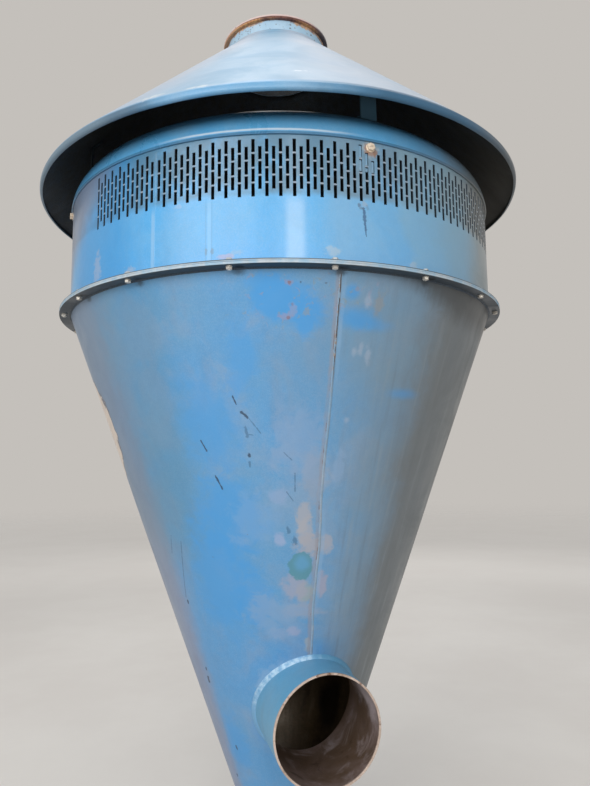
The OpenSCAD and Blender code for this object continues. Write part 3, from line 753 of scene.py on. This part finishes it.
def tube_faces(steps, count):
    """The quads of a closed tube of points, given as steps sections of count points each."""
    return [(i * count + k, (i + 1) % steps * count + k, (i + 1) % steps * count + (k + 1) % count,
             i * count + (k + 1) % count) for i in range(steps) for k in range(count)]


def lathe(name, parts, steps, wave=None, **kw):
    """Revolves a closed profile given as runs of points, each run with its material."""
    profile, mats, index = [], [], []
    for run, mat in parts:
        if mat not in mats:
            mats.append(mat)
        for p in run:
            if not profile or dist(p, profile[-1]) > 1e-6:
                profile.append(p)
                index.append(mats.index(mat))
    if dist(profile[0], profile[-1]) < 1e-6:
        profile.pop()
        index.pop()
    count = len(profile)
    verts = []
    for i in range(steps):
        a = 360 * i / steps
        for r, z in profile:
            dr, dz = wave(a, r, z) if wave else (0, 0)
            verts.append(polar(a, r + dr, z + dz))
    return piece(name, verts, tube_faces(steps, count), mats, (index[1:] + index[:1]) * steps, **kw)


def flutes(a, r, z):
    """The slow unevenness of rolled plate, under a millimetre, gone at the welded edges."""
    p = polar(a, r, z)
    fade = max(0, min(1, (CONE_TOP - 0.006 - z) / 0.05, (z - CONE_LOW) / 0.05))
    d = 0.0009 * noise(p * 2.6) + 0.0006 * noise(p * 6 + Vector((3, 1, 7)))
    d += 0.00025 * sin(radians(a) * 41 + 2.5 * noise(p * 1.7))
    return -abs(d) * fade * 0.9, 0


cone = lathe("cone_plate", [
    (line((SPIGOT_R, CONE_LOW), (DRUM_R, CONE_TOP), 110), paint_cone),
    (line((DRUM_R, CONE_TOP), (DRUM_R - WALL_X, CONE_TOP), 1), cut_edge),
    (line((DRUM_R - WALL_X, CONE_TOP), (SPIGOT_R - WALL_X, CONE_LOW), 16), inner_cone),
    (line((SPIGOT_R - WALL_X, CONE_LOW), (SPIGOT_R, CONE_LOW), 1), cut_edge),
], 320, flutes, replaces=quarters("cone"))

AXIS = polar(PIPE_AZ, 1, 0)
SIDE = polar(PIPE_AZ + 90, 1, 0)
UP = Vector((0, 0, 1))


def on_pipe(phi, r, s):
    return AXIS * s + (SIDE * cos(phi) + UP * sin(phi)) * r + UP * PIPE_Z


def saddle(phi, r, offset):
    """Distance along the pipe at which its surface of radius r meets the cone offset outwards."""
    z = PIPE_Z + r * sin(phi)
    return sqrt((cone_r(z) + offset) ** 2 - (r * cos(phi)) ** 2)


# The opening for the side pipe is cut through the cone's mesh.
cutter_mesh = bpy.data.meshes.new("cutter")
ring = [on_pipe(2 * pi * i / PIPE_STEPS, PIPE_R + PIPE_GAP, s)
        for s in (0.08, 0.45) for i in range(PIPE_STEPS)]
cutter_mesh.from_pydata([tuple(v) for v in ring], [],
                        [(i, (i + 1) % PIPE_STEPS, PIPE_STEPS + (i + 1) % PIPE_STEPS, PIPE_STEPS + i)
                         for i in range(PIPE_STEPS)]
                        + [tuple(range(PIPE_STEPS))[::-1], tuple(range(PIPE_STEPS, 2 * PIPE_STEPS))])
cutter = add_object("cutter", cutter_mesh)
cut = cone.modifiers.new("pipe", "BOOLEAN")
cut.object, cut.operation, cut.solver = cutter, "DIFFERENCE", "EXACT"
done = bpy.data.meshes.new_from_object(cone.evaluated_get(bpy.context.evaluated_depsgraph_get()))
cone.modifiers.clear()
cone.data = done
bpy.data.objects.remove(cutter)
inside = list(done.materials).index(inner_cone)
for face in done.polygons:
    d = face.center - UP * PIPE_Z
    off = abs((d - AXIS * d.dot(AXIS)).length - PIPE_R - PIPE_GAP)
    if off < 0.0008 and d.dot(AXIS) > 0 and abs(face.normal.dot(AXIS)) < 0.3:
        face.material_index = inside
done.polygons.foreach_set("use_smooth", [True] * len(done.polygons))
done.set_sharp_from_angle(angle=radians(35))


def side_pipe():
    verts = []
    r0, r1, mouth = PIPE_R - PIPE_WALL, PIPE_R, PIPE_REACH - MOUTH_EDGE
    for i in range(PIPE_STEPS):
        phi = 2 * pi * i / PIPE_STEPS
        s_out, s_in = saddle(phi, r1, -WALL_X), saddle(phi, r0, -WALL_X)
        row = [(r1, s_out + (mouth - s_out) * k / 14) for k in range(15)] + [(r1, PIPE_REACH - MOUTH_ROUND)]
        row += [(r1 - 0.0006, PIPE_REACH - 0.0001), (r0 + 0.0006, PIPE_REACH - 0.0001),
                (r0, PIPE_REACH - MOUTH_ROUND)]
        row += [(r0, mouth - (mouth - s_in) * k / 14) for k in range(15)]
        dent = 0.0006 * noise(Vector((cos(phi), sin(phi), 0)) * 1.7)
        verts += [on_pipe(phi, r + dent * (s - 0.15) / 0.2, s) for r, s in row]
    count = len(row)
    index = [0 if k < 14 else 1 if k < 19 or k == count - 1 else 2 for k in range(count)] * PIPE_STEPS
    return piece("side_duct", verts, tube_faces(PIPE_STEPS, count), [paint_pipe, cut_edge, inner], index,
                 ("side_pipe",))


side_pipe()


def bead(name, path, out, width, height, mat, closed=False, seed=0, replaces=()):
    """A weld bead with ripples along a path, its crown towards out, its foot sunk a little."""
    count, ribs, ripple, foot = len(path), 8, 0.0042, 0.0004
    verts, faces, run = [], [], 0
    for i, (p, up) in enumerate(zip(path, out)):
        before = path[i - 1 if closed or i else 0]
        after = path[(i + 1) % count if closed else min(i + 1, count - 1)]
        along = (after - before).normalized()
        across = along.cross(up).normalized()
        run += (p - path[i - 1]).length if i else 0
        j = noise(Vector((run * 60, seed, 0)))
        k = 1 + 0.16 * abs(sin(pi * run / ripple)) + 0.22 * j
        w = width / 2 * (1 + 0.16 * noise(Vector((run * 90, seed + 5, 0))))
        end = 1 if closed else min(1, (min(i, count - 1 - i) + 0.3) * 0.45)
        for q in range(ribs + 1):
            a = pi * q / ribs
            crown = height * k * end * sin(a) - foot
            verts.append(p + across * (w * cos(a) * end) + up * crown)
    span = ribs + 1
    for i in range(count if closed else count - 1):
        j = (i + 1) % count
        for q in range(ribs):
            faces.append((i * span + q, j * span + q, j * span + q + 1, i * span + q + 1))
        faces.append((i * span + ribs, j * span + ribs, j * span, i * span))
    if not closed:
        faces += [tuple(range(span)), tuple(range((count - 1) * span, count * span))[::-1]]
    return piece(name, verts, faces, [mat], None, replaces, smooth=60)


def ring_bead(name, r, z, tilt, count, width, height, mat, seed, place=Matrix()):
    """A bead round the axis, its crown tilted up from level by tilt degrees."""
    t = radians(tilt)
    turns = [360 * i / count for i in range(count)]
    path = [place @ polar(az, r, z) for az in turns]
    out = [polar(az, cos(t), sin(t)) for az in turns]
    bead(name, path, out, width, height, mat, True, seed)


seam_low, seam_high = PIPE_Z + PIPE_R + 0.006, RING_LOW - 0.006


def seam_az(z):
    """The seam's azimuth at a height, between its measured points."""
    for (z0, a0), (z1, a1) in zip(SEAM, SEAM[1:]):
        if z <= z1:
            t = (z - z0) / (z1 - z0)
            return a0 + (a1 - a0) * t * t * (3 - 2 * t)
    return SEAM[-1][1]


path, out = [], []
for i in range(520):
    z = seam_low + (seam_high - seam_low) * i / 519
    az = seam_az(z) + 0.06 * noise(Vector((0, 4, z * 30)))
    path.append(polar(az, cone_r(z) - 0.0004, z))
    out.append(polar(az, cos(CONE_TILT), -sin(CONE_TILT)))
bead("seam_bead", path, out, 0.0052, 0.0013, paint_seam, replaces=("cone_seam",))

path, out = [], []
for i in range(360):
    phi = 2 * pi * i / 360
    s = saddle(phi, PIPE_R + 0.0032, 0.0036)
    p = on_pipe(phi, PIPE_R + 0.0032, s)
    radial = (SIDE * cos(phi) + UP * sin(phi)).normalized()
    flat = Vector((p.x, p.y, 0)).normalized()
    face = (flat * cos(CONE_TILT) - UP * sin(CONE_TILT)).normalized()
    path.append(p)
    out.append((radial + face).normalized())
bead("pipe_bead", path, out, 0.0145, 0.0018, paint_weld, closed=True, seed=2)
ring_bead("flange_bead_low", 0.499, 1.2396, -55, 1200, 0.0055, 0.0016, paint_under, 3)
ring_bead("flange_bead_high", 0.5008, 1.2494, 45, 1200, 0.0055, 0.0018, paint_drum, 4)
ring_bead("spigot_bead", 0.0755, 0.06, -10, 300, 0.006, 0.0016, paint_weld, 6)
ring_bead("outlet_bead", 0.0758, 0.0084, 45, 300, 0.0055, 0.002, paint_weld, 7)
ring_bead("collar_bead", 0.1302, COLLAR_SEAT + 0.0005, 23, 420, 0.01, 0.001, paint_hood, 8, LEAN)


# The slotted sheet

SLOT_W, SLOT_L, PITCH, SLOT_TOP = 0.006, 0.024, 0.0272, 1.473
BAY, BAY_COLUMNS, BAYS, SHORT = 33.33, 24, 9, 14
STEP = BAY / BAY_COLUMNS
MM_DEG = 180 / (pi * DRUM_R * 1000)
MARGIN = 1.75 * MM_DEG
BOLT_CLEAR = 10.5  # mm between a cleat's bolt and the nearest slot that is cut
FACE_DEG, FACE_H, SAME_Z = 0.85, 0.0148, 0.0004


def slot_rows(az, long):
    """Lower and upper end of each slot in a column, without those that a cleat's bolt takes up."""
    first = SLOT_TOP - SLOT_L / 2 - (0 if long else PITCH / 2)
    rows = []
    for i in range(4 if long else 3):
        z = first - i * PITCH
        off_z = max(0, abs(z - CLEAT_Z) - SLOT_L / 2) * 1000
        off_az = min(abs((az - CLEAT_AZ - 90 * k + 540) % 360 - 180) for k in range(4)) / MM_DEG
        if hypot(off_az, off_z) >= BOLT_CLEAR:
            rows.append((z - SLOT_L / 2, z + SLOT_L / 2))
    return rows


def drum_sheet():
    half = SLOT_W / 2 * 1000 * MM_DEG
    columns = []
    for b in range(BAYS):
        for j in range(BAY_COLUMNS):
            az = JOINT_AZ + MARGIN + b * BAY + (j + 0.5) * STEP
            columns.append((az, slot_rows(az, j % 2 == 1)))
    for j in range(SHORT):
        az = JOINT_AZ - MARGIN - SHORT * STEP + (j + 0.5) * STEP + 360
        columns.append((az, slot_rows(az, j % 2 == 0)))
    cuts, holes = [], []
    for az, rows in columns:
        holes.append((az - half, az + half, rows))
        cuts += [az - half, az, az + half]
    cuts.sort()
    full = []
    for i, a in enumerate(cuts):
        b = cuts[(i + 1) % len(cuts)] + (360 if i == len(cuts) - 1 else 0)
        parts = max(1, ceil((b - a) / FACE_DEG))
        full += [a + (b - a) * k / parts for k in range(parts)]
    heights = {DRUM_LOW, DRUM_TOP} | {DRUM_LOW + k * FACE_H for k in range(1, 8)}
    heights |= {round(z, 6) for _, rows in columns for row in rows for z in row}
    levels = []
    for z in sorted(heights):
        if not levels or z - levels[-1] > SAME_Z:
            levels.append(z)
    n, m = len(full), len(levels)
    void, web = set(), set()
    h = 0
    for i in range(n):
        mid = (full[i] + (full[i + 1] if i + 1 < n else full[0] + 360)) / 2
        while h < len(holes) and holes[h][1] < mid:
            h += 1
        if h < len(holes) and holes[h][0] < mid < holes[h][1]:
            for j in range(m - 1):
                z = (levels[j] + levels[j + 1]) / 2
                if any(lo < z < hi for lo, hi in holes[h][2]):
                    void.add((i, j))
                elif holes[h][2] and holes[h][2][-1][0] < z < holes[h][2][0][1]:
                    web.add((i, j))
    verts = []
    for a in full:
        for z in levels:
            p = polar(a, DRUM_R, z)
            fade = min(1, (z - DRUM_LOW) / 0.05, (DRUM_TOP - z) / 0.05)
            d = -0.0007 * abs(noise(p * 3) + 0.5 * noise(p * 8)) * max(0, fade)
            verts.append(polar(a, DRUM_R + d, z))
            verts.append(polar(a, DRUM_R - PLATE + d, z))

    def at(i, j, side):
        return ((i % n) * m + j) * 2 + side

    faces, index = [], []
    for i in range(n):
        for j in range(m - 1):
            if (i, j) in void:
                continue
            faces.append((at(i, j, 0), at(i + 1, j, 0), at(i + 1, j + 1, 0), at(i, j + 1, 0)))
            index.append(3 if (i, j) in web else 0)
            faces.append((at(i, j, 1), at(i, j + 1, 1), at(i + 1, j + 1, 1), at(i + 1, j, 1)))
            index.append(1)
            for di, dj, a, b in ((1, 0, (1, 0), (1, 1)), (-1, 0, (0, 1), (0, 0)), (0, 1, (1, 1), (0, 1)),
                                 (0, -1, (0, 0), (1, 0))):
                other = ((i + di) % n, j + dj)
                if other in void or not 0 <= j + dj < m - 1:
                    p, q = (i + a[0], j + a[1]), (i + b[0], j + b[1])
                    faces.append((at(*p, 0), at(*p, 1), at(*q, 1), at(*q, 0)))
                    index.append(2)
    names = ["slot_panel_%d" % k for k in range(1, 11)] + ["plain_panel"]
    return piece("drum_sheet", verts, faces, [paint_drum, inner_cone, paint_under, paint_web], index, names)


drum_sheet()
path = [polar(JOINT_AZ, DRUM_R - 0.0002, 1.2515 + (1.4825 - 1.2515) * i / 119) for i in range(120)]
bead("drum_joint", path, [polar(JOINT_AZ, 1, 0)] * 120, 0.0032, 0.0007, paint_drum, seed=9)


# Rings, shoulder, hood and collar

def wavy(a, r, z):
    p = polar(a, DRUM_R, 0)
    k = max(0, (r - 0.504) / 0.02)
    return 0, 0.0007 * noise(p * 5) * k


def ring_profile(r0, r1, z0, z1, b):
    return [(r0, z0), (r1 - b, z0), (r1 - b * 0.3, z0 + b * 0.3), (r1, z0 + b), (r1, z1 - b),
            (r1 - b * 0.3, z1 - b * 0.3), (r1 - b, z1), (r0, z1), (r0, z0)]


for name, z, node in (("flange_low", RING_LOW, "lower_flange"), ("flange_high", DRUM_LOW, "upper_flange")):
    lathe(name, [(ring_profile(RING_IN, RING_OUT, z, z + RING_T, 0.0007), paint_ring)], 360, wavy,
          replaces=(node,))

k_in = KNUCKLE_R - PLATE
low = degrees(asin(SKIRT / KNUCKLE_R))
low_in = degrees(asin(SKIRT / k_in))
lathe("shoulder", [
    (arc(KNUCKLE_X, KNUCKLE_Z, KNUCKLE_R, low + 0.6, 90, 30), paint_shoulder),
    (line((KNUCKLE_X, KNUCKLE_Z + KNUCKLE_R), (SHOULDER_IN, KNUCKLE_Z + KNUCKLE_R), 2), paint_shoulder),
    (line((SHOULDER_IN, KNUCKLE_Z + KNUCKLE_R), (SHOULDER_IN, KNUCKLE_Z + k_in), 1), cut_edge),
    (line((SHOULDER_IN, KNUCKLE_Z + k_in), (KNUCKLE_X, KNUCKLE_Z + k_in), 2), inner_cone),
    (arc(KNUCKLE_X, KNUCKLE_Z, k_in, 90, low_in, 12), inner_cone),
    ([(KNUCKLE_X + KNUCKLE_R - 0.0009, KNUCKLE_Z + SKIRT)], paint_shoulder),
], 300, replaces=quarters("shoulder"))

hood_a = atan(HOOD_SLOPE)
bend_x, bend_z, band_z = HOOD_R - LIP_BEND, HOOD_LOW + 0.01, HOOD_LOW + LIP_ROLL
start = (bend_x + LIP_BEND * sin(hood_a), bend_z + LIP_BEND * cos(hood_a))
inward = (-sin(hood_a) * PLATE, -cos(hood_a) * PLATE)
top_r = COLLAR_R + 0.0003
top_z = start[1] + (start[0] - top_r) * HOOD_SLOPE
top_in = (top_r, top_z - PLATE / cos(hood_a))
turn = 90 - degrees(hood_a)


def hood_wave(a, r, z):
    p = polar(a, r, z)
    rim = max(0, 1 - (z - HOOD_LOW) / 0.05)
    d = 0.0022 * abs(noise(polar(a, 0.6, 0) * 3.4 + Vector((5, 2, 0)))) * rim
    d += 0.0009 * abs(noise(p * 4)) * (1 - rim)
    dz = 0.0016 * abs(noise(polar(a, 0.6, 0) * 4.2)) * rim
    return -d, dz


lathe("hood_shell", [
    (arc(HOOD_R - LIP_ROLL, band_z, LIP_ROLL, -90, 0, 8), paint_hood),
    (line((HOOD_R, band_z), (HOOD_R, bend_z), 2), paint_hood),
    (arc(bend_x, bend_z, LIP_BEND, 0, turn, 8), paint_hood),
    (line(start, (top_r, top_z), 36), paint_hood),
    (line((top_r, top_z), top_in, 1), cut_edge),
    (line(top_in, (start[0] + inward[0], start[1] + inward[1]), 14), hood_inside),
    (arc(bend_x, bend_z, LIP_BEND - PLATE, turn, 0, 5), hood_inside),
    (line((HOOD_R - PLATE, bend_z), (HOOD_R - PLATE, band_z), 1), hood_inside),
    (arc(HOOD_R - LIP_ROLL, band_z, LIP_ROLL - PLATE, 0, -90, 4), hood_inside),
], 320, hood_wave, replaces=quarters("hood") + quarters("lip"), slot="pale_paint", lean=True)


def ragged(a, r, z):
    p = polar(a, 0.13, z)
    k = max(0, (z - 1.985) / 0.009)
    return -0.0004 * abs(noise(p * 60)), -0.0008 * abs(noise(p * 45 + Vector((1, 2, 3)))) * k


low_c = COLLAR_SEAT - 0.01
lathe("collar", [
    (line((COLLAR_R, low_c), (COLLAR_R, COLLAR_TOP), 10), paint_collar),
    (line((COLLAR_R, COLLAR_TOP), (COLLAR_R - PLATE, COLLAR_TOP), 1), hoop_rust),
    (line((COLLAR_R - PLATE, COLLAR_TOP), (COLLAR_R - PLATE, low_c), 10), soot_and_shade),
    (line((COLLAR_R - PLATE, low_c), (COLLAR_R, low_c), 1), soot_and_shade),
], 240, ragged, replaces=("top_collar",), slot="pale_paint", lean=True)
h0, h1 = COLLAR_R + 0.0003, COLLAR_R + 0.0085
lathe("hoop", [
    (line((h0, COLLAR_TOP - 0.01), (h1 - 0.001, COLLAR_TOP - 0.01), 1), hoop_rust),
    (line((h1, COLLAR_TOP - 0.009), (h1, COLLAR_TOP - 0.001), 4), hoop_rust),
    (line((h1 - 0.001, COLLAR_TOP), (h0, COLLAR_TOP), 2), hoop_rust),
], 240, ragged, replaces=("collar_hoop",), slot="rusty_steel", lean=True)


# Fasteners

def disc(verts, faces, base, up, side, sizes, sides, turn=0):
    """Adds a closed stack of rings to a mesh: sizes are (radius, height) from the bottom up."""
    other = up.cross(side)
    start = len(verts)
    for r, h in sizes:
        for i in range(sides):
            a = 2 * pi * i / sides + turn
            verts.append(base + up * h + (side * cos(a) + other * sin(a)) * r)
    for k in range(len(sizes) - 1):
        for i in range(sides):
            j = (i + 1) % sides
            faces.append((start + k * sides + i, start + k * sides + j, start + (k + 1) * sides + j,
                          start + (k + 1) * sides + i))
    faces.append(tuple(start + i for i in range(sides))[::-1])
    faces.append(tuple(start + (len(sizes) - 1) * sides + i for i in range(sides)))


def hexagon(verts, faces, base, up, side, flats, h, turn):
    r = flats / sqrt(3)
    disc(verts, faces, base, up, side, [(r * 0.93, 0), (r, h * 0.12), (r, h * 0.84), (r * 0.88, h)], 6, turn)


def fastener_set(name, places, mat):
    """Hexagons on one mesh: seat, up, side, width across flats, head, washer's radius, bolt end."""
    verts, faces = [], []
    for i, (centre, up, side, flats, head, washer, tip) in enumerate(places):
        turn = 1.7 * i + 0.3
        if washer:
            rim = [(washer, 0), (washer, 0.0011), (washer * 0.95, WASHER_T)]
            disc(verts, faces, centre, up, side, rim, 28)
            centre = centre + up * WASHER_T
        hexagon(verts, faces, centre, up, side, flats, head, turn)
        if tip:
            d = flats * 0.3
            disc(verts, faces, centre + up * head * 0.9, up, side,
                 [(d, 0), (d, head * 0.1 + tip * 0.8), (d * 0.8, head * 0.1 + tip)], 16)
    return piece(name, verts, faces, [mat], slot="bare_steel", smooth=25)


low_set, high_set = [], []
for i in range(BOLTS):
    az = (i + 0.5) * 360 / BOLTS + BOLT_SHIFT.get(i, 0)
    side = polar(az, 1, 0)
    low_set.append((polar(az, BOLT_R, RING_LOW), -UP, side, 0.01, 0.0042, 0.006,
                    0.0008 + 0.0005 * sin(i * 2.3)))
    high_set.append((polar(az, BOLT_R, DRUM_LOW + RING_T), UP, side, 0.01, 0.004, 0.0062, 0))
fastener_set("flange_nuts", low_set, zinc)
fastener_set("flange_bolts", high_set, dull_bolt)
cleats, cleat_nuts = [], []
for k in range(4):
    az = CLEAT_AZ + 90 * k
    out_dir = polar(az, 1, 0)
    cleats.append((polar(az, DRUM_R - 0.0002, CLEAT_Z), out_dir, UP, 0.013, 0.0053, 0.0088, 0))
    cleat_nuts.append((polar(az, DRUM_R - 0.0072, CLEAT_Z), -out_dir, UP, 0.013, 0.0065, 0.0078, 0.005))
fastener_set("cleat_bolts", cleats, old_bolt)
fastener_set("cleat_nuts", cleat_nuts, zinc)


# Carried-over nodes

def dress(node, mat):
    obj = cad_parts[node]
    obj.data.materials.clear()
    obj.data.materials.append(mat)


dress("outlet_flange", paint_ring)
dress("outlet_spigot", paint_pipe)
dress("flange_gasket", paint_ring)
for k in range(1, 5):
    dress("ring_cleat_%d" % k, paint_cleat)
    dress("hood_leg_%d" % k, paint_dark if k == 1 else paint_sooty)


# Floor, light and camera

def background_rays(tree):
    """1 for the rays that show the backdrop: camera, glossy and transmission rays."""
    ray = tree.nodes.new("ShaderNodeLightPath")
    total = ray.outputs["Is Camera Ray"]
    for kind in ("Is Glossy Ray", "Is Transmission Ray"):
        both = tree.nodes.new("ShaderNodeMath")
        both.operation, both.use_clamp = "ADD", True
        tree.links.new(total, both.inputs[0])
        tree.links.new(ray.outputs[kind], both.inputs[1])
        total = both.outputs[0]
    return total


def floor_material():
    n = Nodes("studio_floor")
    cloud = n.noise(1.3, 5, 0.6)
    n.colour = n.mix(cloud.span(0.3, 0.7), (196, 191, 185), (204, 200, 194))
    far = n.vector("LENGTH", n.vector("MULTIPLY", n.pos, (1, 1, 0)), (0, 0, 0))
    n.over(far.span(1.8, 3.6), 0.4, 96, 94, 92)
    mat = n.finish(0.75)
    n.put(n.bsdf.inputs["Emission Color"], rgb(204, 200, 195))
    n.put(n.bsdf.inputs["Emission Strength"],
          n.math("MULTIPLY", background_rays(n.tree), far.span(1.6, 4.6, 0.23, 0.53)))
    clear = n.node("BsdfTransparent")
    blend = n.node("MixShader")
    n.put(blend.inputs[0], far.span(5, 14))
    n.put(blend.inputs[1], n.bsdf.outputs[0])
    n.put(blend.inputs[2], clear.outputs[0])
    out = next(x for x in n.tree.nodes if x.type == "OUTPUT_MATERIAL")
    n.tree.links.new(blend.outputs[0], out.inputs[0])
    return mat


floor_mesh = bpy.data.meshes.new("floor")
floor_mesh.from_pydata([(-16, -16, -0.001), (16, -16, -0.001), (16, 16, -0.001), (-16, 16, -0.001)], [],
                       [(0, 1, 2, 3)])
floor_mesh.materials.append(floor_material())
floor = add_object("floor", floor_mesh)

world = bpy.data.worlds.new("studio")
scene.world = world
world.use_nodes = True
wt = world.node_tree
wt.nodes.clear()
world_out, lit, seen, choose = (wt.nodes.new("ShaderNode" + kind)
                                for kind in ("OutputWorld", "Background", "Background", "MixShader"))
lit.inputs[0].default_value, lit.inputs[1].default_value = (0.95, 0.97, 1, 1), 0.37
seen.inputs[0].default_value, seen.inputs[1].default_value = rgb(196, 192, 187), 1
wt.links.new(background_rays(wt), choose.inputs[0])
wt.links.new(lit.outputs[0], choose.inputs[1])
wt.links.new(seen.outputs[0], choose.inputs[2])
wt.links.new(choose.outputs[0], world_out.inputs[0])


def lamp(name, where, aim, size, power, colour=(1, 1, 1)):
    data = bpy.data.lights.new(name, "AREA")
    data.shape, data.size, data.size_y = "RECTANGLE", size[0], size[1]
    data.energy, data.color = power, colour
    obj = add_object(name, data)
    obj.location = where
    obj.rotation_mode = "QUATERNION"
    obj.rotation_quaternion = (Vector(aim) - Vector(where)).to_track_quat("-Z", "Y")
    obj.visible_camera = False


lamp("key", (-2.4, -3.9, 2.5), (0, 0, 1.1), (3.2, 2.6), 101, (1, 0.99, 0.97))
lamp("front", (0.4, -4.6, 1.95), (0, 0, 0.95), (3, 1.3), 54, (1, 0.98, 0.96))
lamp("back", (0.8, 4.6, 3.1), (0, 0, 1.2), (3, 1.8), 58, (0.98, 0.99, 1))
lamp("top", (-0.2, 0.2, 4.6), (0, 0, 1.5), (3, 3), 42, (0.97, 0.98, 1))
lamp("strip", (0.5, -4.2, 2.95), (0, -0.5, 1.33), (0.42, 1.5), 18)

# The camera fitted to the photograph; its picture is taller than it is wide.
SENSOR, FOCAL_PX, PICTURE_PX = 36, 620, 786
CAMERA_AT = (0, -1.5325, 0.904)
camera_data = bpy.data.cameras.new("camera")
camera_data.sensor_width, camera_data.lens = SENSOR, FOCAL_PX / PICTURE_PX * SENSOR
camera_data.clip_start, camera_data.clip_end = 0.05, 100
camera = add_object("camera", camera_data)
yaw, pitch, roll = 0.0214, 0.1139, -0.0105
ahead = Vector((sin(yaw) * cos(pitch), cos(yaw) * cos(pitch), sin(pitch)))
right = ahead.cross(UP).normalized()
above = right.cross(ahead)
to_right = right * cos(roll) + above * sin(roll)
to_top = above * cos(roll) - right * sin(roll)
turned = Matrix((to_right, to_top, -ahead)).transposed().to_4x4()
camera.matrix_world = Matrix.Translation(CAMERA_AT) @ turned
scene.camera = camera
scene.view_settings.view_transform = "Standard"
